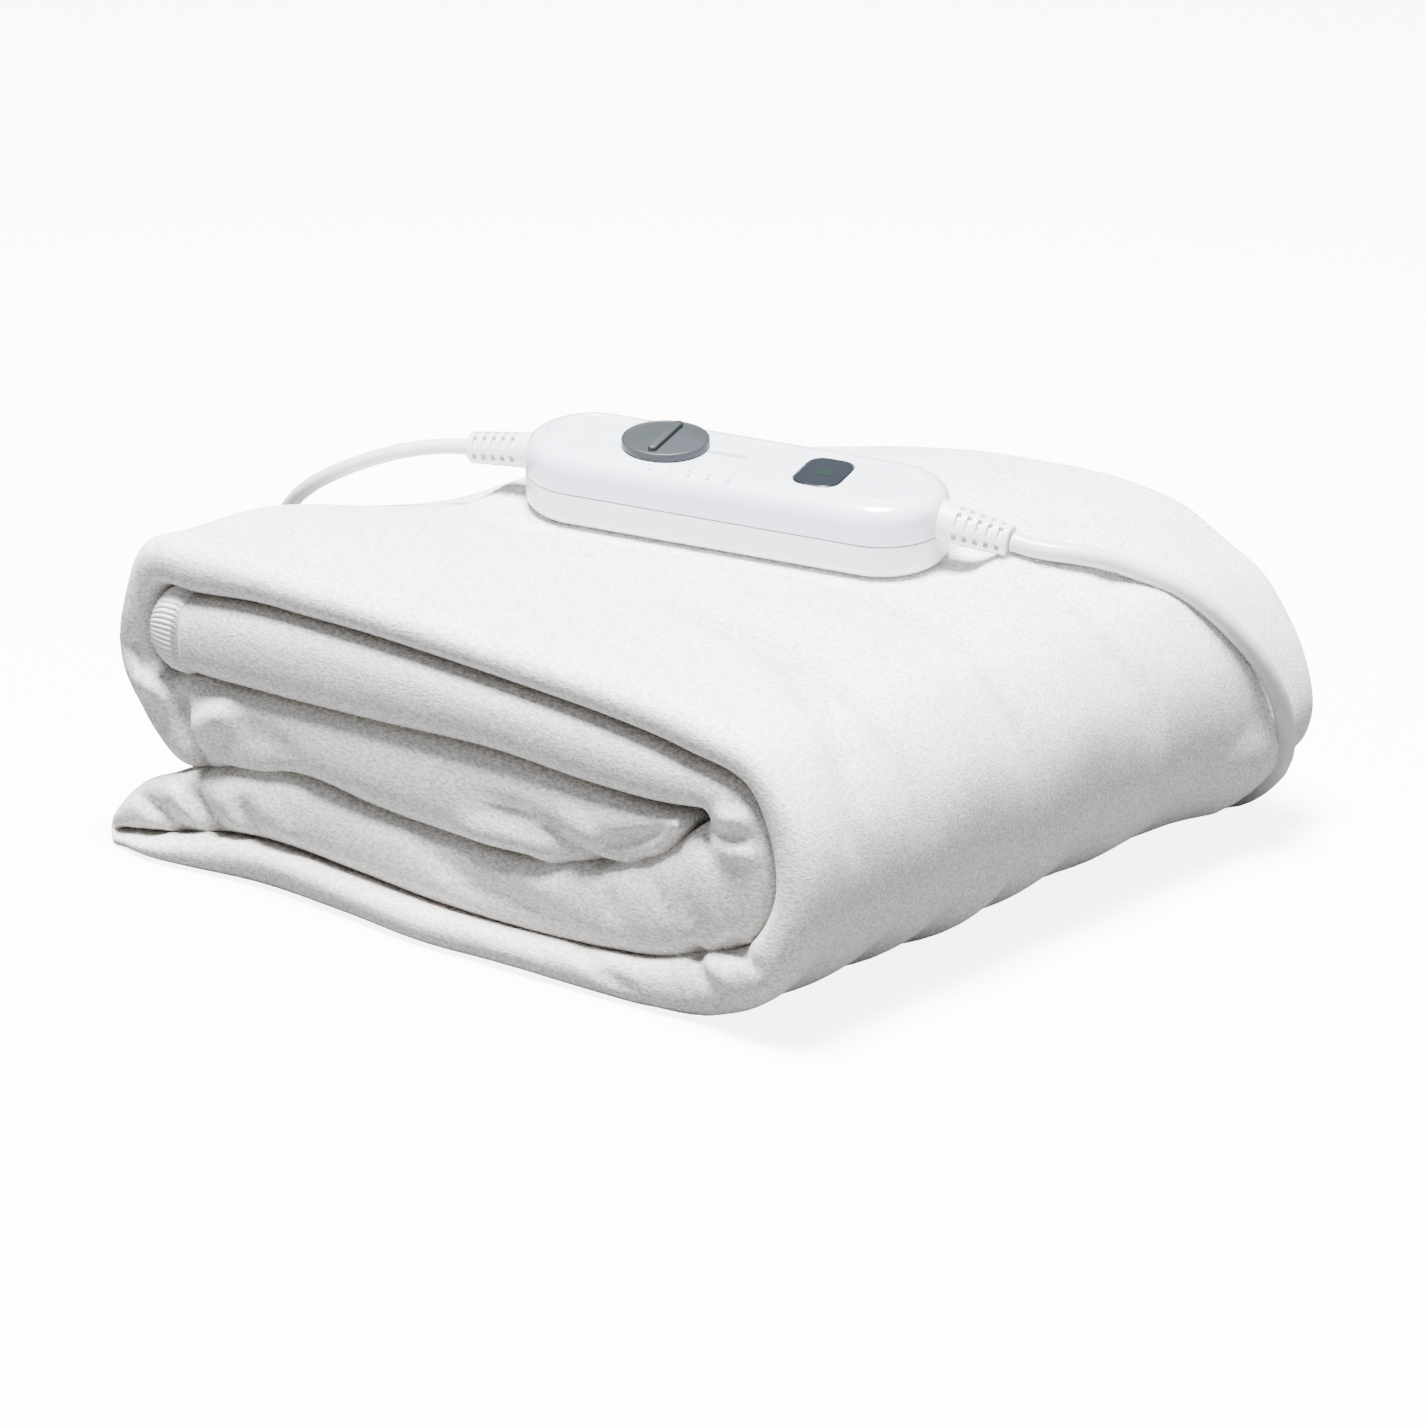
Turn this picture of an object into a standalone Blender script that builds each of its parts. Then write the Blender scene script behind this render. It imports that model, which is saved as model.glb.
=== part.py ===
"""Folded electric under-blanket with its in-line controller, mains lead and blanket lead."""

import math
from collections import namedtuple

import bmesh
import bpy
import numpy as np
from mathutils import Matrix, Vector

MM = 0.001

# The blanket: folded in three across, then back and forth in five layers.
BLANKET_SIZE = (280.0, 262.0)      # plan of the folded pile, mm
LAYER_EASE = 0.6                   # taken off each layer's thickness, so that the layers lie apart
EDGE_DEPTH = 9.0                   # how far a folded edge takes to round over
STEPS_PER_ROW = 2                  # sections made between two rows of the fold table
EDGE_STEPS = 3                     # rounding steps at each long folded edge
WIDTH_STEPS = 13                   # flat steps between the two edges

# The controller: a box with round ends in two halves.
BOX_LENGTH = 138.0
BOX_WIDTH = 42.0
BASE_HEIGHT = 11.0
LID_HEIGHT = 12.5
SEAM_GAP = 0.3
BOX_CENTRE = (-4.0, 15.0, 95.3)    # middle of its underside
BOX_YAW = 17.0                     # long axis, degrees from +X
BOX_LEAN = 7.0                     # lean of its top towards the front right
BOX_LEAN_TOWARDS = -50.0           # compass of that lean, degrees from +X
SEAT_GAP = 0.5                     # between the box and the cloth it lies on
SEAT_MARGIN = 7.0                  # flat cloth left round the box's outline
SEAT_FADE = 15.0                   # over which the seat runs out into the pile's own shape
SEAT_REACH = 3.0                   # only the top of the pile is laid to the seat
BASE_ROUNDING = 4.0
LID_ROUNDING = 7.0
END_STEPS = 16                     # steps round each end of the box

# What sits on the lid, from the middle of the box along its length.
DIAL_PLACE = -23.5
DIAL_RADIUS = 13.6
DIAL_THICK = 2.4
GRIP_LENGTH = 22.5
GRIP_WIDTH = 3.2
GRIP_HEIGHT = 1.6
SPINDLE_RADIUS = 4.0
SPINDLE_DEPTH = 9.0
FIT_GAP = 0.3                      # clearance of every piece that fits into another
WINDOW_PLACE = 29.0
WINDOW_LENGTH = 15.0
WINDOW_WIDTH = 21.0
WINDOW_DEPTH = 1.2
WINDOW_CORNER = 5.0

# The ribbed cord guards at the two ends of the box.
GUARD_HEIGHT = 14.0                # of their axis above the underside of the box
GUARD_DROOP = 7.0                  # degrees below the long axis
GUARD_SINK = 2.0                   # how far their inner face wraps the round end
Guard = namedtuple("Guard", "length inner_radius outer_radius rib_pitch groove_width groove_depth")
LEAD_GUARD = Guard(20.5, 5.7, 5.0, 3.3, 1.3, 0.9)
BLANKET_GUARD = Guard(21.2, 6.3, 4.9, 3.4, 1.4, 1.0)
GUARD_RIBS = 5

BEND_SAG = 4.5                     # how far the left bend hangs down behind its front edge
FOOT_BULGE = 3.4                   # how far the foot of the right bend spreads at its widest
FOOT_BULGE_PLACE = -32.0
FOOT_BULGE_REACH = 24.0
BEND_PULL = 8.0                    # how far the right bend draws in at the back

# The two leads. Their route points run from the guard outwards and are middles of the cord.
MAINS_CORD = 4.9
BLANKET_CORD = 6.1
ROUTE_STEP = 2.2                   # diameters from one point of a tube to the next
CORD_GAP = 0.6                     # between a cord's end and the piece that it comes out of
ROUTE_EASE = 6                     # passes that even out a route's bends
RoutePoint = namedtuple("RoutePoint", "x y z")
MAINS_ROUTE = (
    RoutePoint(-108.0, -23.5, 108.6),
    RoutePoint(-120.0, -28.5, 104.0),
    RoutePoint(-131.0, -31.2, 98.5),
    RoutePoint(-142.0, -32.5, 91.6),
    RoutePoint(-152.0, -31.0, 82.0),
    RoutePoint(-159.0, -26.5, 69.0),
    RoutePoint(-162.5, -18.5, 54.0),
    RoutePoint(-162.8, -8.5, 38.0),
    RoutePoint(-161.2, 3.0, 22.5),
    RoutePoint(-159.2, 14.5, 10.0),
    RoutePoint(-157.9, 26.0, 4.4),
    RoutePoint(-157.8, 36.0, 3.6),
)
BLANKET_ROUTE = (
    RoutePoint(100.0, 48.5, 99.9),
    RoutePoint(108.6, 57.0, 97.2),
    RoutePoint(115.6, 64.3, 93.2),
    RoutePoint(123.4, 69.7, 89.7),
    RoutePoint(129.6, 74.1, 85.0),
    RoutePoint(133.8, 78.5, 79.4),
    RoutePoint(136.6, 82.8, 74.0),
    RoutePoint(138.9, 86.7, 69.0),
    RoutePoint(140.9, 90.4, 63.5),
    RoutePoint(142.2, 94.0, 57.5),
    RoutePoint(143.0, 97.5, 51.0),
    RoutePoint(143.0, 100.5, 44.4),
    RoutePoint(142.4, 103.0, 38.6),
    RoutePoint(140.8, 105.0, 32.0),
    RoutePoint(137.8, 107.0, 25.4),
    RoutePoint(132.2, 109.0, 19.2),
    RoutePoint(125.0, 111.4, 13.0),
    RoutePoint(116.0, 113.6, 7.8),
    RoutePoint(105.0, 116.2, 4.3),
    RoutePoint(94.0, 120.0, 3.3),
    RoutePoint(83.5, 125.6, 3.2),
    RoutePoint(74.0, 131.4, 3.4),
    RoutePoint(66.5, 134.8, 4.2),
)

# The unseen length of the mains lead, wound in a coil behind the blanket.
COIL_CENTRE = (-195.0, 35.0)
COIL_INNER = 19.5
COIL_OUTER = 34.5
COIL_FOOT = 1.1
COIL_HEIGHT = 15.0
TIE_WIDTH = 8.0
TIE_THICK = 0.8
TIE_ANGLE = 150.0                  # compass of the tie round the coil, degrees from +X
TAIL_ANGLE = 14.0                  # compass of the place where the lead leaves the coil

# The plug lies beside the coil with its pins away from the cord.
PLUG_PLACE = (-164.5, 118.0)       # end of its body on the cord's side
PLUG_LENGTH = 36.0
PLUG_WIDTH = 27.0
PLUG_NECK = 14.0                   # width on the cord's side
PLUG_HEIGHT = 13.5
PLUG_ROUNDING = 3.0
PIN_RADIUS = 2.0
PIN_LENGTH = 19.0
PIN_SPREAD = 18.6
RELIEF_LENGTH = 22.0
PLUG_RELIEF_RADII = (5.0, 3.4)     # at the plug and at its tip

# The moulded entry at the back edge, where the blanket's lead goes into the bottom layer.
ENTRY_LENGTH = 34.0
ENTRY_DEPTH = 9.6
ENTRY_LOW = 0.6
ENTRY_HEIGHT = 8.6
ENTRY_MIDDLE = 12.0                # place of its middle along X
ENTRY_FACE = 131.1                 # place of its face against the cloth, along Y
ENTRY_ROUNDING = 2.0
ENTRY_RELIEF_RADII = (4.0, 3.5)    # at the block and at its tip

# The bottom layers stand off the surface where the blanket's lead runs under them.
CORNER_LIFT = 9.4
LIFT_REACH = 40.0
FOOT_SNAP = 0.8

FoldRow = namedtuple("FoldRow", "x z thick heading inset")

# One row for each section of the fold, from the hemmed end to the inner end, in mm and degrees.
# x and z are the middle of the layer, heading is its way round (0 is +X, 90 is up),
# inset is how far its folded edge stands back from the front.
HEMMED_LAYER = (
    FoldRow(-118.4, 73.1, 14.0, 0, 8.0),
    FoldRow(-115.0, 73.2, 20.4, 0, 7.0),
    FoldRow(-103.0, 73.2, 23.4, 0, 6.5),
    FoldRow(-81.0, 73.8, 24.4, 1, 6.0),
    FoldRow(-33.0, 75.1, 24.6, 1, 6.0),
    FoldRow(20.0, 74.9, 19.8, -1, 6.0),
    FoldRow(60.0, 72.9, 20.0, -4, 6.5),
    FoldRow(85.0, 71.5, 16.6, -5, 7.0),
)
# The inner bend, on spokes round its hollow: compass of the spoke and thickness along it.
HOLLOW = (97.6, 62.0)
HOLLOW_RADIUS = 2.4
BEND_INSET = 8.0
BendRow = namedtuple("BendRow", "angle thick")
INNER_BEND = (
    BendRow(90, 13.6),
    BendRow(62, 14.2),
    BendRow(35, 18.1),
    BendRow(8, 21.2),
    BendRow(-15, 25.2),
    BendRow(-38, 29.6),
    BendRow(-58, 33.4),
    BendRow(-75, 35.1),
    BendRow(-90, 37.7),
)
INNER_LAYER = (
    FoldRow(93.0, 38.0, 35.2, -178, 8.0),
    FoldRow(83.8, 32.4, 29.8, -173, 8.0),
    FoldRow(60.0, 25.7, 25.0, -170, 8.0),
    FoldRow(28.0, 21.5, 21.3, -180, 8.0),
    FoldRow(-5.0, 21.5, 21.3, -180, 8.0),
    FoldRow(-40.0, 23.0, 22.2, -182, 7.5),
    FoldRow(-66.0, 24.7, 23.2, -182, 7.5),
    FoldRow(-90.0, 22.5, 19.6, -172, 7.5),
    FoldRow(-108.0, 18.6, 17.6, -164, 7.0),
    FoldRow(-122.0, 14.2, 15.0, -150, 6.0),
    FoldRow(-131.5, 9.7, 9.0, -140, 6.0),
)
TIP_FOLD = (
    FoldRow(-137.4, 4.6, 3.4, -115, 7.0),
    FoldRow(-136.6, 2.2, 2.8, -20, 6.0),
)
BOTTOM_LAYER = (
    FoldRow(-128.0, 2.0, 3.4, 2, 3.0),
    FoldRow(-115.0, 3.1, 5.4, 4, 1.0),
    FoldRow(-102.0, 4.9, 9.0, 3, 2.5),
    FoldRow(-81.0, 5.8, 11.0, 1, 6.0),
    FoldRow(-40.0, 5.3, 10.0, 0, 5.0),
    FoldRow(-5.0, 4.9, 9.2, 0, 2.0),
    FoldRow(28.0, 4.9, 9.2, 0, 4.5),
    FoldRow(59.0, 5.7, 10.8, 3, 5.0),
    FoldRow(80.0, 7.1, 13.2, 8, 6.0),
    FoldRow(99.5, 11.2, 18.4, 24, 8.0),
)
OUTER_BEND = (
    FoldRow(121.0, 22.3, 15.4, 55, 6.0),
    FoldRow(132.5, 45.5, 13.2, 86, 6.5),
    FoldRow(130.0, 64.5, 13.8, 112, 7.0),
    FoldRow(120.0, 80.0, 12.0, 142, 7.0),
)
TOP_LAYER = (
    FoldRow(95.0, 86.8, 11.8, 168, 7.0),
    FoldRow(60.0, 90.7, 11.2, 176, 7.0),
    FoldRow(40.0, 91.8, 11.0, 177, 7.0),
    FoldRow(20.0, 92.8, 10.8, 178, 7.0),
    FoldRow(-6.0, 94.0, 10.8, 178, 7.0),
    FoldRow(-33.0, 95.0, 11.0, 180, 7.0),
    FoldRow(-54.0, 95.2, 11.4, 181, 7.0),
    FoldRow(-75.0, 95.5, 12.0, 182, 7.0),
    FoldRow(-103.0, 93.7, 13.4, 187, 7.0),
)
LEFT_BEND = (
    FoldRow(-120.5, 90.4, 11.6, 222, 7.0),
    FoldRow(-127.6, 77.0, 9.0, 266, 7.0),
    FoldRow(-129.2, 61.5, 10.6, 272, 7.5),
    FoldRow(-121.8, 50.8, 17.0, 316, 8.0),
    FoldRow(-112.0, 45.2, 28.2, 344, 9.0),
)
MIDDLE_LAYER = (
    FoldRow(-86.0, 47.6, 22.8, 362, 10.0),
    FoldRow(-59.0, 49.7, 20.4, 361, 10.0),
    FoldRow(-30.0, 48.6, 26.0, 359, 10.0),
    FoldRow(10.0, 48.2, 28.2, 360, 10.0),
    FoldRow(45.0, 49.8, 24.2, 363, 9.0),
    FoldRow(68.0, 51.8, 17.0, 368, 9.0),
    FoldRow(82.0, 55.2, 10.6, 376, 9.0),
    FoldRow(90.6, 59.3, 3.0, 385, 9.0),
)


def smooth_step(value, start, end):
    """0 before start, 1 after end, smooth between."""
    t = np.clip((value - start) / (end - start), 0.0, 1.0)
    return t * t * (3.0 - 2.0 * t)


def spoke_row(row):
    """A row of the inner bend as a row of the fold."""
    middle = np.array(HOLLOW) + heading_vector(row.angle) * (HOLLOW_RADIUS + row.thick / 2)
    return FoldRow(*middle, row.thick, row.angle - 90.0, BEND_INSET)


def fold_rows():
    """All rows of the fold in order, from the hemmed end to the inner end."""
    return (HEMMED_LAYER + tuple(spoke_row(row) for row in INNER_BEND) + INNER_LAYER + TIP_FOLD
            + BOTTOM_LAYER + OUTER_BEND + TOP_LAYER + LEFT_BEND + MIDDLE_LAYER)


def heading_vector(degrees):
    return np.array((math.cos(math.radians(degrees)), math.sin(math.radians(degrees))))


def smooth_through(knots, values, places):
    """Values on a smooth curve through the knots."""
    slopes = np.gradient(values, knots, axis=0)
    after = np.clip(np.searchsorted(knots, places, side="right"), 1, len(knots) - 1)
    before = after - 1
    span = (knots[after] - knots[before])[:, None]
    t = (places - knots[before])[:, None] / span
    return ((2 * t ** 3 - 3 * t ** 2 + 1) * values[before]
            + (t ** 3 - 2 * t ** 2 + t) * span * slopes[before]
            + (3 * t ** 2 - 2 * t ** 3) * values[after]
            + (t ** 3 - t ** 2) * span * slopes[after])


def fold_sections():
    """Each section along the fold: one side, the other side, and the edge inset."""
    table = []
    for row in fold_rows():
        middle = np.array((row.x, row.z))
        half = heading_vector(row.heading + 90.0) * (row.thick - LAYER_EASE) / 2
        table.append((*(middle + half), *(middle - half), row.inset))
    table = np.array(table)
    middles = (table[:, 0:2] + table[:, 2:4]) / 2
    knots = np.concatenate(([0.0], np.cumsum(np.linalg.norm(np.diff(middles, axis=0), axis=1))))
    places = [knots[index] + (knots[index + 1] - knots[index]) * step / STEPS_PER_ROW
              for index in range(len(knots) - 1) for step in range(STEPS_PER_ROW)]
    return smooth_through(knots, table, np.array(places + [knots[-1]]))


def pile_shape(points):
    """Lets the square pile slump as the real one does: low at the back left, high at the back right."""
    x, y, z = points[:, 0], points[:, 1], points[:, 2]
    slump = 0.165 * smooth_step(-x, 20.0, 118.0) * smooth_step(y, -85.0, 28.0)
    slump += 0.060 * smooth_step(-x, -15.0, 45.0) * smooth_step(y, 60.0, 112.0)
    slump += 0.030 * smooth_step(y, 95.0, 125.0)
    slump += 0.050 * smooth_step(x, 88.0, 118.0) * smooth_step(y, 60.0, 118.0)
    swell = 0.060 * np.exp(-((x - 60.0) / 50.0) ** 2) * smooth_step(y, 20.0, 100.0)
    swell += 0.028 * smooth_step(-x, 92.0, 122.0) * smooth_step(-y, 25.0, 80.0) * smooth_step(z, 82.0, 98.0)
    sag = BEND_SAG * smooth_step(-x, 104.0, 122.0) * smooth_step(y, -124.0, -104.0)
    sag *= smooth_step(z, 20.0, 30.0) * smooth_step(-z, -62.0, -40.0)
    shaped = points.copy()
    shaped[:, 2] = (z - sag) * (1.0 - slump + swell)
    foot = FOOT_BULGE * np.exp(-((y - FOOT_BULGE_PLACE) / FOOT_BULGE_REACH) ** 2)
    shaped[:, 0] += foot * smooth_step(x, 60.0, 105.0) * smooth_step(-z, -38.0, -2.0)
    pull = BEND_PULL * smooth_step(x, 50.0, 130.0) * smooth_step(y, 70.0, 132.0)
    shaped[:, 0] -= pull * smooth_step(z, 25.0, 80.0)
    return shaped


def material(name, colour, roughness, metallic=0.0):
    made = bpy.data.materials.new(name)
    made.use_nodes = True
    shader = made.node_tree.nodes["Principled BSDF"]
    shader.inputs["Base Color"].default_value = (*colour, 1.0)
    shader.inputs["Roughness"].default_value = roughness
    shader.inputs["Metallic"].default_value = metallic
    made.diffuse_color = (*colour, 1.0)
    return made


def add_object(name, data, finish, collection="parts"):
    made = bpy.data.objects.new(name, data)
    collections[collection].objects.link(made)
    if finish is not None:
        data.materials.append(finish)
    return made


def add_mesh(name, shape, finish, collection="parts"):
    """A named object from a finished bmesh."""
    data = bpy.data.meshes.new(name)
    shape.to_mesh(data)
    shape.free()
    data.shade_smooth()
    data.set_sharp_from_angle(angle=math.radians(40.0))
    return add_object(name, data, finish, collection)


def curve_to_shape(made):
    """Takes a curve object away and returns its welded mesh as a bmesh."""
    bpy.context.view_layer.update()
    graph = bpy.context.evaluated_depsgraph_get()
    data = bpy.data.meshes.new_from_object(made.evaluated_get(graph))
    shape = bmesh.new()
    shape.from_mesh(data)
    bmesh.ops.remove_doubles(shape, verts=shape.verts, dist=0.00001)
    shape.transform(made.matrix_world)
    bpy.data.objects.remove(made)
    return shape


def outline_block(name, outline, low, high):
    """A flat outline in mm, filled and given thickness from low to high, as a bmesh in metres."""
    curve = bpy.data.curves.new(name, "CURVE")
    curve.dimensions = "2D"
    curve.fill_mode = "BOTH"
    curve.extrude = (high - low) / 2 * MM
    line = curve.splines.new("POLY")
    line.points.add(len(outline) - 1)
    for point, (x, y) in zip(line.points, outline):
        point.co = (x * MM, y * MM, 0.0, 1.0)
    line.use_cyclic_u = True
    made = bpy.data.objects.new(name, curve)
    collections["parts"].objects.link(made)
    made.location.z = (high + low) / 2 * MM
    return curve_to_shape(made)


def round_ended(length, width, steps):
    """Outline of a box with half-round ends, in mm."""
    radius = width / 2
    reach = length / 2 - radius
    outline = []
    for step in range(2 * steps + 2):
        side = 1.0 if step <= steps else -1.0
        turn = step if step <= steps else step - 1
        angle = math.pi * turn / steps - math.pi / 2
        outline.append((side * reach + radius * math.cos(angle), radius * math.sin(angle)))
    return outline


def rounded_outline(length, width, corner, steps=5):
    """Outline of a rectangle with rounded corners, in mm."""
    outline = []
    for quarter, (sign_x, sign_y) in enumerate(((1, 1), (-1, 1), (-1, -1), (1, -1))):
        centre_x = sign_x * (length / 2 - corner)
        centre_y = sign_y * (width / 2 - corner)
        for step in range(steps + 1):
            angle = math.pi / 2 * (quarter + step / steps)
            outline.append((centre_x + corner * math.cos(angle), centre_y + corner * math.sin(angle)))
    return outline


def round_rim(shape, level, radius, steps):
    """Rounds the outline edges that lie at one level, in mm."""
    bmesh.ops.dissolve_limit(shape, angle_limit=math.radians(1.0), verts=shape.verts, edges=shape.edges)
    rim = [edge for edge in shape.edges
           if all(abs(vert.co.z - level * MM) < 0.01 * MM for vert in edge.verts)]
    bmesh.ops.bevel(shape, geom=rim, offset=radius * MM, segments=steps, profile=0.5,
                    affect="EDGES", clamp_overlap=False)


def turned(name, profile, finish, steps=32, collection="parts", ring=False):
    """A solid, or a ring, turned about Z from (radius, height) pairs in mm, outer side downwards."""
    shape = bmesh.new()
    verts = [shape.verts.new((radius * MM, 0.0, height * MM)) for radius, height in profile]
    for here, after in zip(verts[:-1], verts[1:]):
        shape.edges.new((here, after))
    if ring:
        shape.edges.new((verts[-1], verts[0]))
    made = add_mesh(name, shape, finish, collection)
    screw = made.modifiers.new("turn", "SCREW")
    screw.steps = steps
    screw.render_steps = steps
    screw.use_merge_vertices = True
    screw.merge_threshold = 0.00001
    return made


def cut(made, cutter, operation="DIFFERENCE"):
    cutter.hide_render = True
    cutter.display_type = "WIRE"
    boolean = made.modifiers.new("cut by " + cutter.name, "BOOLEAN")
    boolean.operation = operation
    boolean.object = cutter
    boolean.solver = "EXACT"


def box_rotation():
    """Turn of the controller: yaw about Z, then a lean towards the front right."""
    towards = math.radians(BOX_LEAN_TOWARDS)
    hinge = Vector((-math.sin(towards), math.cos(towards), 0.0))
    lean = Matrix.Rotation(math.radians(BOX_LEAN), 3, hinge)
    return lean @ Matrix.Rotation(math.radians(BOX_YAW), 3, "Z")


def edge_rim(side):
    """Points round one folded edge: distance in from its front, and share of the half thickness."""
    rim = []
    for step in range(-EDGE_STEPS, EDGE_STEPS + 1):
        angle = math.pi / 2 * step / EDGE_STEPS
        rim.append((EDGE_DEPTH * (1.0 - math.cos(angle)), side * math.sin(angle)))
    return rim


def strip_ring(section):
    """One closed ring round the strip at a section, starting at the front edge's underside."""
    upper, lower, inset = section[0:2], section[2:4], section[4]
    front_y = -BLANKET_SIZE[1] / 2 + inset
    back_y = BLANKET_SIZE[1] / 2 - inset / 4
    inner_y = np.linspace(front_y + EDGE_DEPTH, back_y - EDGE_DEPTH, WIDTH_STEPS + 1)[1:-1]
    loop = [(front_y + depth, share) for depth, share in edge_rim(1.0)]
    loop += [(y, 1.0) for y in inner_y]
    loop += [(back_y - depth, share) for depth, share in edge_rim(-1.0)]
    loop += [(y, -1.0) for y in inner_y[::-1]]
    ring = []
    for y, share in loop:
        x, z = (upper + lower) / 2 + (upper - lower) / 2 * share
        ring.append((x, y, z))
    return ring


def seat_height(points):
    """Height of the plane in which the controller's underside lies, at each point's plan place."""
    normal = box_rotation() @ Vector((0.0, 0.0, 1.0))
    x, y = points[:, 0] - BOX_CENTRE[0], points[:, 1] - BOX_CENTRE[1]
    return BOX_CENTRE[2] - (normal.x * x + normal.y * y) / normal.z


def distance_from_box(points):
    """Plan distance outside the controller's round-ended outline, 0 under it."""
    yaw = math.radians(BOX_YAW)
    x, y = points[:, 0] - BOX_CENTRE[0], points[:, 1] - BOX_CENTRE[1]
    along = x * math.cos(yaw) + y * math.sin(yaw)
    aside = y * math.cos(yaw) - x * math.sin(yaw)
    past = np.maximum(np.abs(along) - (BOX_LENGTH - BOX_WIDTH) / 2, 0.0)
    return np.maximum(np.hypot(past, aside) - BOX_WIDTH / 2, 0.0)


def top_height(points):
    """Height of the pile's top above each point before the controller presses it."""
    rows = sorted(TOP_LAYER + OUTER_BEND[-1:], key=lambda row: row.x)
    crown = np.interp(points[:, 0], [row.x for row in rows], [row.z + row.thick / 2 for row in rows])
    return pile_shape(np.column_stack((points[:, :2], crown)))[:, 2]


def press_seat(points):
    """Presses the layers under the controller down, or up, to the plane of its underside."""
    seat = seat_height(points) - SEAT_GAP
    away = distance_from_box(points)
    hold = 1.0 - smooth_step(away, SEAT_MARGIN, SEAT_MARGIN + SEAT_FADE)
    pressed = points.copy()
    pressed[:, 2] *= 1.0 + hold * (seat / top_height(points) - 1.0)
    on_seat = (away < SEAT_MARGIN) & (np.abs(pressed[:, 2] - seat) < SEAT_REACH)
    pressed[on_seat, 2] = seat[on_seat]
    return pressed


def lift_corner(points):
    """Lifts the bottom layers at the back right, where the blanket's lead runs under them."""
    x, y = points[:, 0], points[:, 1]
    lift = CORNER_LIFT * smooth_step(x, 36.0, 60.0) * smooth_step(-x, -150.0, -124.0)
    lift *= smooth_step(y, 90.0, 108.0)
    lifted = points.copy()
    lifted[:, 2] += lift * np.clip(1.0 - points[:, 2] / LIFT_REACH, 0.0, 1.0)
    return lifted


def flatten_foot(points):
    """Lays the lowest part of the bottom layer flat on the surface."""
    laid = points.copy()
    laid[laid[:, 2] < FOOT_SNAP, 2] = 0.0
    return laid


def close_end(shape, ring):
    """Closes one end of the strip with faces between its upper and its lower side."""
    size = len(ring)
    for place in range(EDGE_STEPS, EDGE_STEPS + size // 2):
        corners = []
        for index in (place, place + 1, 2 * EDGE_STEPS - place - 1, 2 * EDGE_STEPS - place):
            if ring[index % size] not in corners:
                corners.append(ring[index % size])
        shape.faces.new(corners)


def blanket():
    """The whole blanket as one solid: rings along the fold, joined ring to ring."""
    rings = [strip_ring(section) for section in fold_sections()]
    ring_size = len(rings[0])
    points = np.array([point for ring in rings for point in ring])
    points = flatten_foot(lift_corner(press_seat(pile_shape(points))))
    low, high = points.min(axis=0), points.max(axis=0)
    for axis in (0, 1):
        spread = (points[:, axis] - low[axis]) / (high[axis] - low[axis])
        points[:, axis] = (spread - 0.5) * BLANKET_SIZE[axis]
    shape = bmesh.new()
    verts = [shape.verts.new(point * MM) for point in points]
    for ring in range(len(rings) - 1):
        for place in range(ring_size):
            here, beside = ring * ring_size + place, ring * ring_size + (place + 1) % ring_size
            shape.faces.new((verts[here], verts[beside], verts[beside + ring_size],
                             verts[here + ring_size]))
    close_end(shape, verts[:ring_size])
    close_end(shape, verts[-ring_size:])
    bmesh.ops.recalc_face_normals(shape, faces=shape.faces)
    return add_mesh("blanket", shape, FLEECE)


def place_on_box(made, place=(0.0, 0.0, 0.0), turn=None):
    """Puts a piece at a place in the controller's own frame, in mm."""
    made.parent = controller
    made.location = Vector(place) * MM
    if turn is not None:
        made.rotation_euler = turn
    return made


def housing():
    """The two halves of the controller, with the dial's bore and the window's pocket in the lid."""
    base = outline_block("housing_base", round_ended(BOX_LENGTH, BOX_WIDTH, END_STEPS), 0.0, BASE_HEIGHT)
    round_rim(base, 0.0, BASE_ROUNDING, 4)
    place_on_box(add_mesh("housing_base", base, SHELL))
    low = BASE_HEIGHT + SEAM_GAP
    high = BASE_HEIGHT + LID_HEIGHT
    lid_shape = outline_block("housing_lid", round_ended(BOX_LENGTH, BOX_WIDTH, END_STEPS), low, high)
    round_rim(lid_shape, high, LID_ROUNDING, 6)
    lid = place_on_box(add_mesh("housing_lid", lid_shape, SHELL))
    bore_floor = high - SPINDLE_DEPTH - FIT_GAP
    bore = turned("spindle_bore", ((0.0, high + 1.0), (SPINDLE_RADIUS + FIT_GAP, high + 1.0),
                                   (SPINDLE_RADIUS + FIT_GAP, bore_floor), (0.0, bore_floor)),
                  None, collection="cutters")
    place_on_box(bore, (DIAL_PLACE, 0.0, 0.0))
    cut(lid, bore)
    pocket = outline_block("window_pocket",
                           rounded_outline(WINDOW_LENGTH + 2 * FIT_GAP, WINDOW_WIDTH + 2 * FIT_GAP,
                                           WINDOW_CORNER + FIT_GAP),
                           high - WINDOW_DEPTH, high + 1.0)
    pocket = place_on_box(add_mesh("window_pocket", pocket, None, "cutters"), (WINDOW_PLACE, 0.0, 0.0))
    cut(lid, pocket)


def dial():
    """Rotary switch: a disc with a grip ridge across it, and the spindle that it turns on."""
    lid_top = BASE_HEIGHT + LID_HEIGHT
    under = FIT_GAP
    top = under + DIAL_THICK
    disc = turned("dial", ((0.0, top), (DIAL_RADIUS - 0.9, top), (DIAL_RADIUS, top - 0.8),
                           (DIAL_RADIUS, under), (SPINDLE_RADIUS, under),
                           (SPINDLE_RADIUS, -SPINDLE_DEPTH), (0.0, -SPINDLE_DEPTH)), DARK, steps=40)
    place_on_box(disc, (DIAL_PLACE, 0.0, lid_top))
    ridge = outline_block("dial_grip", round_ended(GRIP_LENGTH, GRIP_WIDTH, 6), top - 0.8, top + GRIP_HEIGHT)
    round_rim(ridge, top + GRIP_HEIGHT, 0.9, 3)
    ridge = place_on_box(add_mesh("dial_grip", ridge, None, "cutters"), (DIAL_PLACE, 0.0, lid_top),
                         (0.0, 0.0, math.pi / 2))
    cut(disc, ridge, "UNION")


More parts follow.
